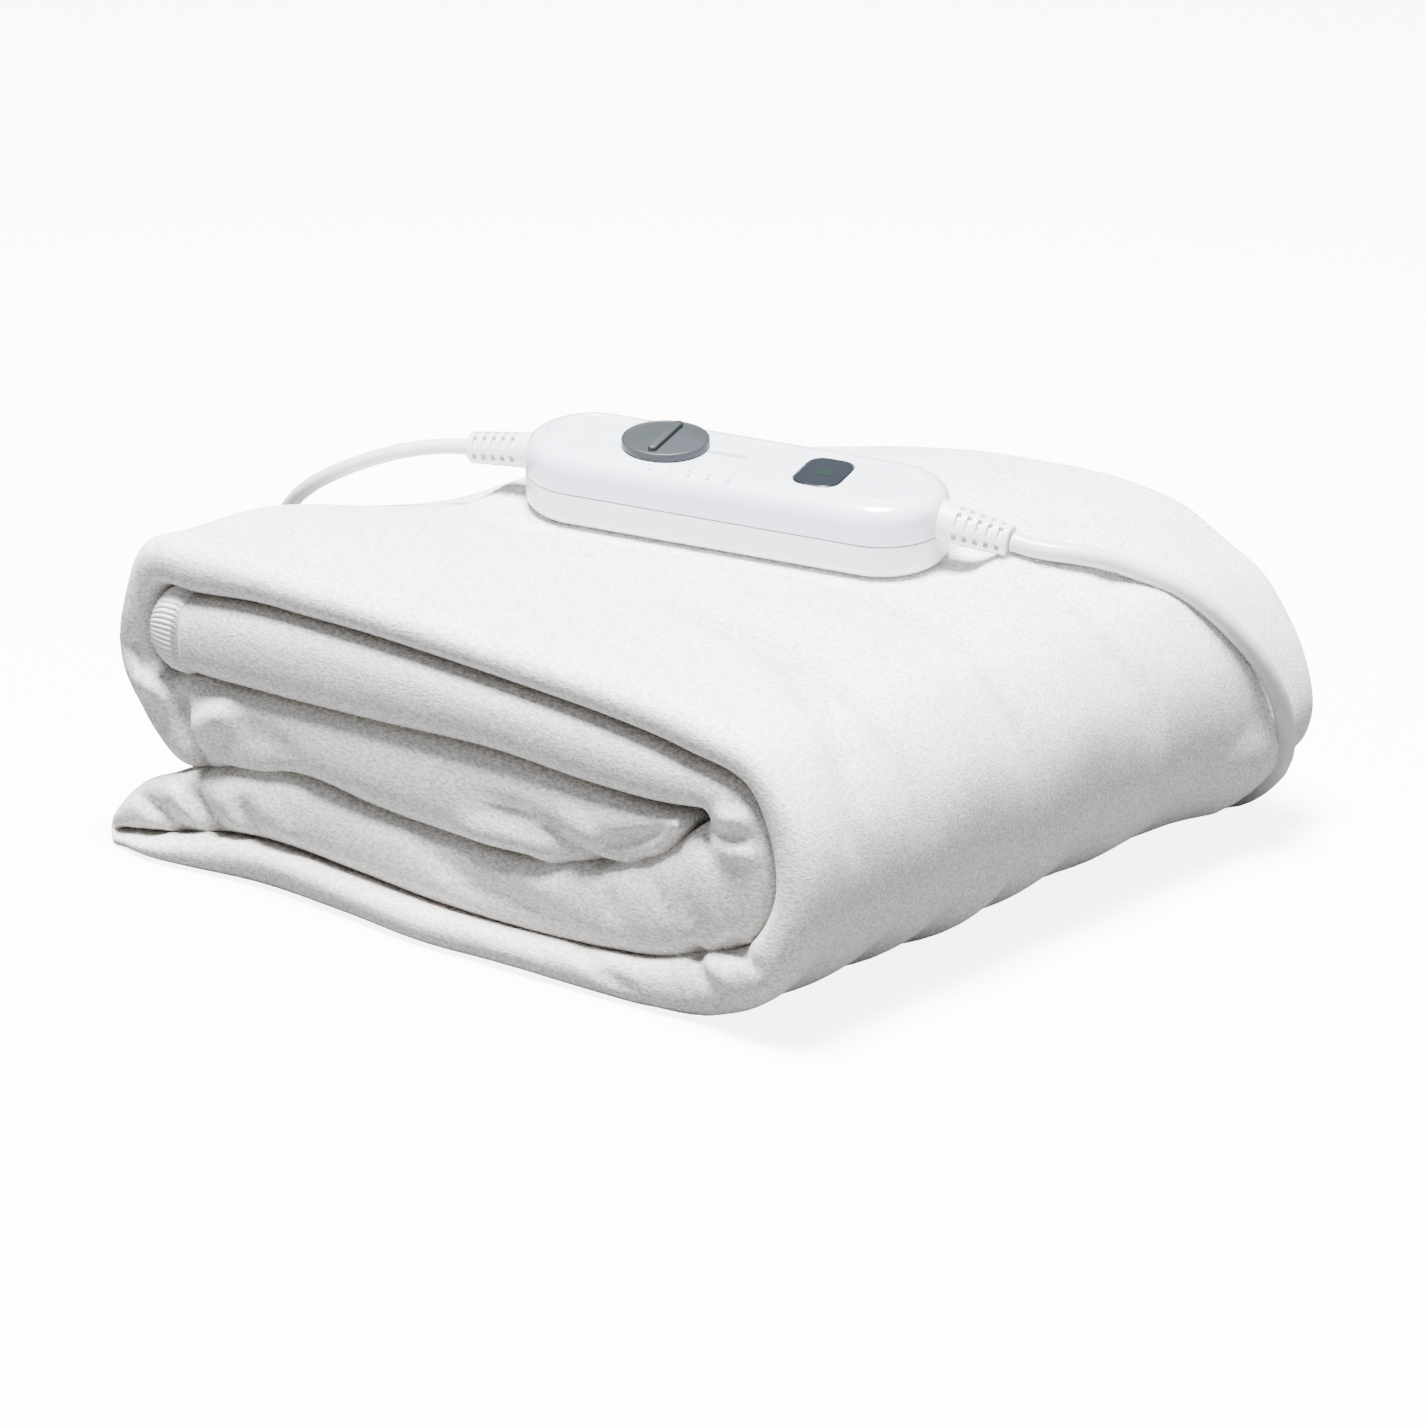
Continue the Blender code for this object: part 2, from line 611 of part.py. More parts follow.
def window():
    """The dark lens over the working lamp, let into the lid."""
    low = BASE_HEIGHT + LID_HEIGHT - WINDOW_DEPTH + FIT_GAP
    lens = outline_block("window", rounded_outline(WINDOW_LENGTH, WINDOW_WIDTH, WINDOW_CORNER),
                         low, low + WINDOW_DEPTH)
    place_on_box(add_mesh("window", lens, DARK), (WINDOW_PLACE, 0.0, 0.0))


def guard_profile(guard):
    """Tapered outline with grooves between ribs, from the outer face back to the inner one."""
    start = guard.length - 2.2
    profile = [(0.0, guard.length), (guard.outer_radius - 0.5, guard.length),
               (guard.outer_radius, guard.length - 0.5)]
    for rib in range(GUARD_RIBS):
        near = start - rib * guard.rib_pitch
        for height, sunk in ((near, False), (near, True), (near - guard.groove_width, True),
                             (near - guard.groove_width, False)):
            radius = guard_radius(guard, height) - (guard.groove_depth if sunk else 0.0)
            profile.append((radius, height))
    profile += [(guard.inner_radius, 0.0), (guard.inner_radius, -GUARD_SINK - 2.0),
                (0.0, -GUARD_SINK - 2.0)]
    return profile


def guard_radius(guard, height):
    share = height / guard.length
    return guard.inner_radius + (guard.outer_radius - guard.inner_radius) * share


def cord_guard(name, guard, side):
    """One ribbed guard, its inner end shaped to the round end of the box."""
    made = turned(name, guard_profile(guard), SHELL, steps=24)
    turn = (0.0, math.radians(90.0 + GUARD_DROOP) * side, 0.0)
    place_on_box(made, (side * BOX_LENGTH / 2, 0.0, GUARD_HEIGHT), turn)
    end_radius = BOX_WIDTH / 2 + FIT_GAP
    hollow = turned(name + "_seat", ((0.0, 60.0), (end_radius, 60.0), (end_radius, -40.0), (0.0, -40.0)),
                    None, steps=64, collection="cutters")
    place_on_box(hollow, (side * (BOX_LENGTH - BOX_WIDTH) / 2, 0.0, 0.0))
    cut(made, hollow)


def guard_axis(guard, side):
    """Where a guard ends, and the way that its cord leaves it, in mm."""
    droop = math.radians(GUARD_DROOP)
    way = Vector((side * math.cos(droop), 0.0, -math.sin(droop)))
    tip = Vector((side * BOX_LENGTH / 2, 0.0, GUARD_HEIGHT)) + way * guard.length
    turn = box_rotation()
    return turn @ tip + Vector(BOX_CENTRE), turn @ way


def smooth_route(points, spacing):
    """Evenly spaced points on a smooth curve through the route's points."""
    route = np.array(points)
    for share in (8, 1):
        knots = np.concatenate(([0.0], np.cumsum(np.linalg.norm(np.diff(route, axis=0), axis=1))))
        count = max(2, round(knots[-1] * share / spacing))
        route = smooth_through(knots, route, np.linspace(0.0, knots[-1], count + 1))
        for _ in range(ROUTE_EASE if share > 1 else 0):
            route[1:-1] = route[1:-1] / 2 + (route[:-2] + route[2:]) / 4
    return route


def tube(name, points, diameter, finish):
    """A cord as a tube along a smooth route."""
    curve = bpy.data.curves.new(name, "CURVE")
    curve.dimensions = "3D"
    curve.bevel_depth = diameter / 2 * MM
    curve.bevel_resolution = 3
    curve.use_fill_caps = True
    line = curve.splines.new("POLY")
    route = smooth_route(points, ROUTE_STEP * diameter)
    line.points.add(len(route) - 1)
    for point, place in zip(line.points, route):
        point.co = (*(place * MM), 1.0)
    return add_object(name, curve, finish)


def blanket_lead():
    """From its guard over the right bend, under the back corner, to the entry."""
    tip, way = guard_axis(BLANKET_GUARD, 1.0)
    entry_end = (ENTRY_MIDDLE + ENTRY_LENGTH / 2 + RELIEF_LENGTH + CORD_GAP,
                 ENTRY_FACE + ENTRY_DEPTH / 2, ENTRY_LOW + ENTRY_HEIGHT / 2)
    entry_way = (entry_end[0] + 7.0, entry_end[1], entry_end[2])
    points = [tip + way * CORD_GAP, tip + way * 9.0, *BLANKET_ROUTE, entry_way, entry_end]
    tube("blanket_lead", points, BLANKET_CORD, CORD)


def cord_entry():
    """Moulded block on the bottom layer's back edge, with the tapered relief of the cord."""
    outline = rounded_outline(ENTRY_LENGTH, ENTRY_DEPTH, ENTRY_ROUNDING, 3)
    shape = outline_block("cord_entry", outline, ENTRY_LOW, ENTRY_LOW + ENTRY_HEIGHT)
    made = add_mesh("cord_entry", shape, SHELL)
    made.location = Vector((ENTRY_MIDDLE, ENTRY_FACE + ENTRY_DEPTH / 2, 0.0)) * MM
    sleeve = relief("entry_relief", ENTRY_RELIEF_RADII, None, "cutters", sink=1.0)
    sleeve.location = Vector((ENTRY_MIDDLE + ENTRY_LENGTH / 2, ENTRY_FACE + ENTRY_DEPTH / 2,
                              ENTRY_LOW + ENTRY_HEIGHT / 2)) * MM
    sleeve.rotation_euler.y = math.pi / 2
    cut(made, sleeve, "UNION")


def relief(name, radii, finish, collection="parts", sink=0.0):
    """A tapered strain relief along Z, from its piece out to its tip."""
    base, tip = radii
    profile = ((0.0, RELIEF_LENGTH), (tip - 0.4, RELIEF_LENGTH), (tip, RELIEF_LENGTH - 0.6),
               (base, 1.0), (base, -sink), (0.0, -sink))
    return turned(name, profile, finish, steps=20, collection=collection)


def mains_lead():
    """From its guard over the left bend and down to the coil."""
    tip, way = guard_axis(LEAD_GUARD, -1.0)
    tube("mains_lead", [tip + way * CORD_GAP, tip + way * 10.0, *MAINS_ROUTE], MAINS_CORD, CORD)


def mains_coil():
    """The wound length of the mains lead, as one ring, and the band that ties it."""
    corner = MAINS_CORD / 2
    low, high = COIL_FOOT, COIL_FOOT + COIL_HEIGHT
    profile = []
    for centre_r, centre_z, start in ((COIL_OUTER - corner, high - corner, 90.0),
                                      (COIL_OUTER - corner, low + corner, 0.0),
                                      (COIL_INNER + corner, low + corner, -90.0),
                                      (COIL_INNER + corner, high - corner, -180.0)):
        for step in range(3):
            x, z = heading_vector(start - 45.0 * step) * corner
            profile.append((centre_r + x, centre_z + z))
    ring = turned("mains_coil", profile, CORD, steps=40, ring=True)
    ring.location = Vector((*COIL_CENTRE, 0.0)) * MM
    inner = math.sqrt(COIL_INNER ** 2 - (TIE_WIDTH / 2) ** 2) - FIT_GAP
    outer = COIL_OUTER + FIT_GAP
    band = box("coil_tie", (outer - inner + 2 * TIE_THICK, TIE_WIDTH, high + FIT_GAP + TIE_THICK), CORD)
    hole = box("tie_hole", (outer - inner, TIE_WIDTH + 2.0, COIL_HEIGHT + 2 * FIT_GAP), None, "cutters")
    for made, level in ((band, (high + FIT_GAP + TIE_THICK) / 2), (hole, (low + high) / 2)):
        x, y = np.array(COIL_CENTRE) + heading_vector(TIE_ANGLE) * (inner + outer) / 2
        made.location = Vector((x, y, level)) * MM
        made.rotation_euler.z = math.radians(TIE_ANGLE)
    cut(band, hole)


def box(name, size, finish, collection="parts"):
    shape = bmesh.new()
    bmesh.ops.create_cube(shape, size=1.0, matrix=Matrix.Diagonal((*(Vector(size) * MM), 1.0)))
    return add_mesh(name, shape, finish, collection)


def mains_tail():
    """From the coil to the plug's strain relief."""
    reach = COIL_OUTER + FIT_GAP + MAINS_CORD / 2
    start_x, start_y = np.array(COIL_CENTRE) + heading_vector(TAIL_ANGLE) * reach
    way_x, way_y = heading_vector(TAIL_ANGLE + 90.0)
    end = Vector((*PLUG_PLACE, PLUG_HEIGHT / 2)) - Vector((0.0, RELIEF_LENGTH + FIT_GAP + CORD_GAP, 0.0))
    rest = MAINS_CORD / 2 + 0.7
    points = [(start_x, start_y, rest), (start_x + way_x * 7.0, start_y + way_y * 7.0, rest),
              (end.x, end.y - 24.0, rest + 0.6), (end.x, end.y - 11.0, end.z), tuple(end)]
    tube("mains_tail", points, MAINS_CORD, CORD)


def plug():
    """Plain two-pin plug: a tapered flat body, its strain relief and two round pins."""
    half, neck = PLUG_WIDTH / 2, PLUG_NECK / 2
    outline = [(-neck, 0.0), (neck, 0.0), (half, PLUG_LENGTH * 0.6), (half, PLUG_LENGTH),
               (-half, PLUG_LENGTH), (-half, PLUG_LENGTH * 0.6)]
    shape = outline_block("plug_body", outline, 0.0, PLUG_HEIGHT)
    round_rim(shape, PLUG_HEIGHT, PLUG_ROUNDING, 3)
    body = add_mesh("plug_body", shape, CORD)
    body.location = Vector((*PLUG_PLACE, 0.0)) * MM
    middle = Vector((*PLUG_PLACE, PLUG_HEIGHT / 2))
    sleeve = relief("plug_relief", PLUG_RELIEF_RADII, CORD)
    sleeve.location = (middle - Vector((0.0, FIT_GAP, 0.0))) * MM
    sleeve.rotation_euler.x = math.pi / 2
    for name, side in (("plug_pin_left", -1.0), ("plug_pin_right", 1.0)):
        pin = turned(name, ((0.0, PIN_LENGTH), (PIN_RADIUS - 0.8, PIN_LENGTH), (PIN_RADIUS, PIN_LENGTH - 1.0),
                            (PIN_RADIUS, 0.0), (0.0, 0.0)), METAL, steps=16)
        pin.location = (middle + Vector((side * PIN_SPREAD / 2, PLUG_LENGTH + FIT_GAP, 0.0))) * MM
        pin.rotation_euler.x = -math.pi / 2


for old in list(bpy.data.objects):
    bpy.data.objects.remove(old)
collections = {}
for collection_name, title in (("parts", "electric blanket"), ("cutters", "cutters")):
    collections[collection_name] = bpy.data.collections.new(title)
    bpy.context.scene.collection.children.link(collections[collection_name])

FLEECE = material("white fleece", (0.86, 0.86, 0.85), 0.95)
SHELL = material("white shell", (0.86, 0.88, 0.90), 0.25)
DARK = material("slate plastic", (0.14, 0.16, 0.17), 0.4)
CORD = material("white cord", (0.82, 0.82, 0.82), 0.45)
METAL = material("nickelled brass", (0.72, 0.70, 0.66), 0.3, 1.0)

controller = add_object("controller", None, None)
controller.location = Vector(BOX_CENTRE) * MM
controller.rotation_euler = box_rotation().to_euler()

blanket()
housing()
dial()
window()
cord_guard("guard_mains", LEAD_GUARD, -1.0)
cord_guard("guard_blanket", BLANKET_GUARD, 1.0)
blanket_lead()
cord_entry()
mains_lead()
mains_coil()
mains_tail()
plug()
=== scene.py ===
import math

import bmesh
import bpy
import numpy as np
from mathutils import Matrix, Vector
from mathutils.bvhtree import BVHTree


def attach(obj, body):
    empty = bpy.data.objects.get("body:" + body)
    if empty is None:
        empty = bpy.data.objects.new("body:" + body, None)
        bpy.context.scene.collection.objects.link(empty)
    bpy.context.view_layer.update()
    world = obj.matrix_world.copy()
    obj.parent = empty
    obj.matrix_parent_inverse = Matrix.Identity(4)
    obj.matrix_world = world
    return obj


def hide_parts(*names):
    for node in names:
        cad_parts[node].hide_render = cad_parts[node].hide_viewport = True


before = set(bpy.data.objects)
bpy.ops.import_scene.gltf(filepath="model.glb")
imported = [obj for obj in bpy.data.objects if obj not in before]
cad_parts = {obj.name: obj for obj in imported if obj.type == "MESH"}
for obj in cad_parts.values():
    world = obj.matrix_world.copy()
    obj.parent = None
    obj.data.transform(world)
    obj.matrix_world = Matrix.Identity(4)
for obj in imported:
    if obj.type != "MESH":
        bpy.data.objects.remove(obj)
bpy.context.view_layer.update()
mm = 0.001
print("frame loaded")


# camera, floor and light

photoView = {"target": (0.012, -0.015, 0.0465), "azimuth": 40.3, "elevation": 19.0,
             "distance": 1.8293, "lens": 151.58, "sensor": 36.0, "farthest": 20.0}
studio = {"floor": 8.0, "level": -0.0002, "bounce": 0.14, "seen": 0.96, "glow": 6.0, "sky": 0.18}
lamps = ({"name": "key from above", "azimuth": 25.0, "elevation": 81.0, "distance": 1.9,
          "size": 0.8, "power": 328.0, "colour": (1.0, 0.99, 0.98)},
         {"name": "fill from the right", "azimuth": 85.0, "elevation": 35.0, "distance": 2.2,
          "size": 1.6, "power": 3.4, "colour": (0.97, 0.98, 1.0)})
lampsAimAt = (0.0, 0.0, 0.05)


def wayOf(azimuth, elevation):
    a, e = math.radians(azimuth), math.radians(elevation)
    return Vector((math.sin(a) * math.cos(e), -math.cos(a) * math.cos(e), math.sin(e)))


def addCamera(view):
    data = bpy.data.cameras.new("camera")
    data.sensor_width = view["sensor"]
    data.lens = view["lens"]
    data.clip_end = view["farthest"]
    made = bpy.data.objects.new("camera", data)
    bpy.context.scene.collection.objects.link(made)
    back = wayOf(view["azimuth"], view["elevation"])
    made.location = Vector(view["target"]) + back * view["distance"]
    made.rotation_euler = back.to_track_quat("Z", "Y").to_euler()
    bpy.context.scene.camera = made


def addLamp(lamp):
    data = bpy.data.lights.new(lamp["name"], "AREA")
    data.shape = "DISK"
    data.size = lamp["size"]
    data.energy = lamp["power"]
    data.color = lamp["colour"]
    made = bpy.data.objects.new(lamp["name"], data)
    bpy.context.scene.collection.objects.link(made)
    back = wayOf(lamp["azimuth"], lamp["elevation"])
    made.location = Vector(lampsAimAt) + back * lamp["distance"]
    made.rotation_euler = back.to_track_quat("Z", "Y").to_euler()


def nodeTree(material):
    material.use_nodes = True
    tree = material.node_tree
    shader = tree.nodes["Principled BSDF"]
    return tree, shader


def addFloor():
    bpy.ops.mesh.primitive_plane_add(size=studio["floor"], location=(0.0, 0.0, studio["level"]))
    floor = bpy.context.object
    floor.name = "floor"
    paper = bpy.data.materials.new("white paper floor")
    tree, shader = nodeTree(paper)
    # white as seen, with a glow that keeps its shadow faint, but it throws little light back at the cloth
    path = tree.nodes.new("ShaderNodeLightPath")
    for socket, low, high in (("Base Color", studio["bounce"], studio["seen"]),
                              ("Emission Strength", 0.0, studio["glow"])):
        tone = tree.nodes.new("ShaderNodeMapRange")
        tone.inputs["To Min"].default_value = low
        tone.inputs["To Max"].default_value = high
        tree.links.new(path.outputs["Is Camera Ray"], tone.inputs["Value"])
        tree.links.new(tone.outputs["Result"], shader.inputs[socket])
    shader.inputs["Roughness"].default_value = 0.9
    shader.inputs["Specular IOR Level"].default_value = 0.1
    shader.inputs["Emission Color"].default_value = (1.0, 1.0, 1.0, 1.0)
    floor.data.materials.append(paper)


def addSky():
    world = bpy.data.worlds.new("studio")
    bpy.context.scene.world = world
    world.use_nodes = True
    back = world.node_tree.nodes["Background"]
    back.inputs["Color"].default_value = (1.0, 1.0, 1.0, 1.0)
    back.inputs["Strength"].default_value = studio["sky"]


addCamera(photoView)
addFloor()
addSky()
for lamp in lamps:
    addLamp(lamp)
print("camera, floor and light")


# routes of the cords, in mm, from their guards outwards

mainsCord = {
    "diameter": 4.9, "length": 1.97,
    "route": ((-88.95, -12.56, 110.93), (-97.94, -15.21, 110.23), (-108.0, -23.5, 108.6),
              (-120.0, -28.5, 104.0), (-131.0, -31.2, 98.5), (-142.0, -32.5, 91.6), (-152.0, -31.0, 82.0),
              (-159.0, -26.5, 69.0), (-162.5, -18.5, 54.0), (-162.8, -8.5, 38.0),
              (-161.2, 3.0, 22.5), (-159.2, 14.5, 10.0), (-157.9, 26.0, 4.4), (-157.8, 36.0, 3.6)),
    # a turn begins, climbs and shifts to its column at these angles
    "coil": {"centre": (-195.0, 35.0), "columns": (32.05, 27.0, 21.95), "levels": (3.6, 8.6, 13.6),
             "pitch": 5.05, "steps": 28, "begins": 12.0, "climbs": (15.0, 70.0), "shifts": (80.0, 140.0)},
    "over": {"step": 12, "rise": 5.1, "rises": (8.0, 75.0), "aside": 5.1, "shifts": (165.0, 345.0),
             "drop": 9.2, "drops": (288.0, 375.0)},
    "tail": ((-158.9, 44.0, 9.2), (-160.6, 50.8, 7.6), (-162.8, 60.5, 6.0), (-164.3, 71.1, 5.8),
             (-164.5, 84.1, 6.6), (-164.5, 95.1, 6.75)),
}
blanketCord = {
    "diameter": 6.1, "length": 0.232,
    "route": ((83.4, 40.64, 102.24), (91.27, 43.19, 100.83), (100.0, 48.5, 99.9), (108.6, 57.0, 97.2),
              (115.6, 64.3, 93.2), (123.4, 69.7, 89.7),
              (129.6, 74.1, 85.0), (133.8, 78.5, 79.4), (136.6, 82.8, 74.0), (138.9, 86.7, 69.0),
              (140.9, 90.4, 63.5), (142.2, 94.0, 57.5), (143.0, 97.5, 51.0), (143.0, 100.5, 44.4),
              (142.4, 103.0, 38.6), (140.8, 105.0, 32.0), (137.8, 107.0, 25.4), (132.2, 109.0, 19.2),
              (125.0, 111.4, 13.0), (116.0, 113.6, 7.8), (105.0, 116.2, 4.3), (94.0, 120.0, 3.3),
              (83.5, 125.6, 3.2), (74.0, 131.4, 3.4), (66.5, 134.8, 4.2)),
    "entry": ((58.6, 135.9, 4.9), (51.6, 135.9, 4.9)),
}

# the controller's own frame: X along it, Z up from its underside
box = {"length": 138.0, "width": 42.0, "baseHigh": 11.0, "lidHigh": 12.5, "seam": 0.3,
       "centre": (-4.0, 15.0, 95.3), "yaw": 17.0, "lean": 7.0, "leanTowards": -50.0}


def boxTurn():
    towards = math.radians(box["leanTowards"])
    hinge = Vector((-math.sin(towards), math.cos(towards), 0.0))
    lean = Matrix.Rotation(math.radians(box["lean"]), 3, hinge)
    return lean @ Matrix.Rotation(math.radians(box["yaw"]), 3, "Z")


boxPlace = Matrix.Translation(Vector(box["centre"]) * mm) @ boxTurn().to_4x4()


def smoothThrough(knots, values, places):
    slopes = np.gradient(values, knots, axis=0)
    after = np.clip(np.searchsorted(knots, places, side="right"), 1, len(knots) - 1)
    before = after - 1
    span = (knots[after] - knots[before])[:, None]
    t = (places - knots[before])[:, None] / span
    return ((2 * t ** 3 - 3 * t ** 2 + 1) * values[before] + (t ** 3 - 2 * t ** 2 + t) * span * slopes[before]
            + (3 * t ** 2 - 2 * t ** 3) * values[after] + (t ** 3 - t ** 2) * span * slopes[after])


def alongOf(points):
    return np.concatenate(([0.0], np.cumsum(np.linalg.norm(np.diff(points, axis=0), axis=1))))


def smoothRoute(points, spacing, shares=(8, 1), passes=6):
    route = np.array(points, float)
    for share in shares:
        knots = alongOf(route)
        count = max(2, round(knots[-1] * share / spacing))
        route = smoothThrough(knots, route, np.linspace(0.0, knots[-1], count + 1))
        for _ in range(passes if share > 1 else 0):
            route[1:-1] = route[1:-1] / 2 + (route[:-2] + route[2:]) / 4
    return route


def fade(value, start, end):
    t = np.clip((value - start) / (end - start), 0.0, 1.0)
    return t * t * (3.0 - 2.0 * t)


def coilTurns(coil, over):
    # counterclockwise from the arriving cord, level by level
    outer, middle, inner = coil["columns"]
    inwards, outwards = (outer, middle, inner), (inner, middle, outer)
    order = [(radius, level) for level, columns in zip(coil["levels"], (inwards, outwards, inwards))
             for radius in columns]
    radii = [outer + coil["pitch"]] + [radius for radius, level in order]
    levels = [order[0][1]] + [level for radius, level in order]
    points = []
    for turn in range(len(order)):
        for step in range(coil["steps"]):
            angle = 360.0 * step / coil["steps"]
            if turn == 0 and angle < coil["begins"]:
                continue
            shift, climb = fade(angle, *coil["shifts"]), fade(angle, *coil["climbs"])
            radius = radii[turn] + (radii[turn + 1] - radii[turn]) * shift
            level = levels[turn] + (levels[turn + 1] - levels[turn]) * climb
            points.append((angle, radius, level))
    # the last turn rises and passes over the others to the outside
    for angle in range(0, 361, over["step"]):
        radius = inner + (outer + over["aside"] - inner) * fade(angle, *over["shifts"])
        level = coil["levels"][-1] + over["rise"] * fade(angle, *over["rises"])
        points.append((angle, radius, level - over["drop"] * fade(angle, *over["drops"])))
    x, y = coil["centre"]
    return [(x + radius * math.cos(math.radians(angle)), y + radius * math.sin(math.radians(angle)), level)
            for angle, radius, level in points]


def addCord(name, route, diameter, material):
    data = bpy.data.curves.new(name, "CURVE")
    data.dimensions = "3D"
    data.bevel_depth = diameter / 2 * mm
    data.bevel_resolution = 6
    data.use_fill_caps = True
    data.resolution_u = 4
    line = data.splines.new("NURBS")
    line.order_u = 3
    line.use_endpoint_u = True
    line.points.add(len(route) - 1)
    for point, place in zip(line.points, route):
        point.co = (*(Vector(place) * mm), 1.0)
    made = bpy.data.objects.new(name, data)
    bpy.context.scene.collection.objects.link(made)
    data.materials.append(material)
    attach(made, "blanket")
    return made


def grainNoise(tree, coordinates, scale, detail, roughness=0.5, stretch=None):
    grain = tree.nodes.new("ShaderNodeTexNoise")
    grain.inputs["Scale"].default_value = scale
    grain.inputs["Detail"].default_value = detail
    grain.inputs["Roughness"].default_value = roughness
    if stretch:
        way = tree.nodes.new("ShaderNodeMapping")
        way.inputs["Rotation"].default_value = [math.radians(angle) for angle in stretch["turn"]]
        way.inputs["Scale"].default_value = stretch["scale"]
        tree.links.new(coordinates, way.inputs["Vector"])
        coordinates = way.outputs["Vector"]
    tree.links.new(coordinates, grain.inputs["Vector"])
    return grain.outputs["Fac"]


def rampNode(tree, value, stops):
    ramp = tree.nodes.new("ShaderNodeValToRGB")
    for element, (position, colour) in zip(ramp.color_ramp.elements, stops):
        element.position = position
        element.color = (*colour, 1.0)
    tree.links.new(value, ramp.inputs["Fac"])
    return ramp.outputs["Color"]


def mathNode(tree, operation, first, second):
    made = tree.nodes.new("ShaderNodeMath")
    made.operation = operation
    for socket, value in zip(made.inputs, (first, second)):
        if isinstance(value, float):
            socket.default_value = value
        else:
            tree.links.new(value, socket)
    return made.outputs[0]


def timesNode(tree, first, second):
    made = tree.nodes.new("ShaderNodeMix")
    made.data_type = "RGBA"
    made.blend_type = "MULTIPLY"
    made.inputs["Factor"].default_value = 1.0
    tree.links.new(first, made.inputs[6])
    tree.links.new(second, made.inputs[7])
    return made.outputs[2]


def bumpNode(tree, shader, height, distance):
    bump = tree.nodes.new("ShaderNodeBump")
    bump.inputs["Distance"].default_value = distance
    tree.links.new(height, bump.inputs["Height"])
    tree.links.new(bump.outputs["Normal"], shader.inputs["Normal"])


def plastic(name, first, second, roughness, coat=0.0, grain=900.0, deep=0.00001, mottle=60.0, metal=0.0):
    # between two near tones, with a fine moulded grain
    made = bpy.data.materials.new(name)
    tree, shader = nodeTree(made)
    coordinates = tree.nodes.new("ShaderNodeTexCoord").outputs["Object"]
    tone = grainNoise(tree, coordinates, mottle, 4.0)
    tree.links.new(rampNode(tree, tone, ((0.35, first), (0.65, second))), shader.inputs["Base Color"])
    rough = tree.nodes.new("ShaderNodeMapRange")
    rough.inputs["To Min"].default_value = roughness * 0.85
    rough.inputs["To Max"].default_value = roughness * 1.2
    tree.links.new(tone, rough.inputs["Value"])
    tree.links.new(rough.outputs["Result"], shader.inputs["Roughness"])
    shader.inputs["Metallic"].default_value = metal
    shader.inputs["Coat Weight"].default_value = coat
    shader.inputs["Coat Roughness"].default_value = 0.08
    bumpNode(tree, shader, grainNoise(tree, coordinates, grain, 3.0), deep)
    return made


lidFinish = plastic("glossy bluish white lid", (0.62, 0.68, 0.79), (0.66, 0.715, 0.815), 0.22, coat=0.5)
baseFinish = plastic("glossy white base", (0.64, 0.66, 0.69), (0.68, 0.70, 0.73), 0.26, coat=0.4)
guardFinish = plastic("warm white soft plastic", (0.74, 0.70, 0.675), (0.80, 0.77, 0.745), 0.42, coat=0.15)
cordFinish = plastic("white satin sheath", (0.60, 0.595, 0.62), (0.66, 0.655, 0.68), 0.34, coat=0.1,
                     grain=400.0)
dialFinish = plastic("slate plastic", (0.019, 0.024, 0.028), (0.023, 0.028, 0.033), 0.5)
lensFinish = plastic("smoked lens", (0.010, 0.013, 0.017), (0.012, 0.015, 0.020), 0.2, coat=0.3)
lampFinish = plastic("greenish lamp", (0.009, 0.015, 0.015), (0.011, 0.018, 0.018), 0.2, coat=0.3)
markFinish = plastic("light grey print", (0.33, 0.35, 0.39), (0.37, 0.39, 0.43), 0.5)
numberFinish = plastic("raised numbers", (0.52, 0.56, 0.62), (0.56, 0.60, 0.66), 0.3)
pinFinish = plastic("nickelled pins", (0.66, 0.63, 0.58), (0.74, 0.71, 0.66), 0.28, metal=1.0)
print("finishes")

mainsRoute = [*smoothRoute(mainsCord["route"], 8.0), *coilTurns(mainsCord["coil"], mainsCord["over"]),
              *smoothRoute(mainsCord["tail"], 6.0)]
mains = addCord("mains_cord", mainsRoute, mainsCord["diameter"], cordFinish)
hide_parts("mains_lead", "mains_coil", "mains_tail")
lead = addCord("blanket_cord", smoothRoute(blanketCord["route"] + blanketCord["entry"], 6.4),
               blanketCord["diameter"], cordFinish)
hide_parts("blanket_lead")
print("cords")


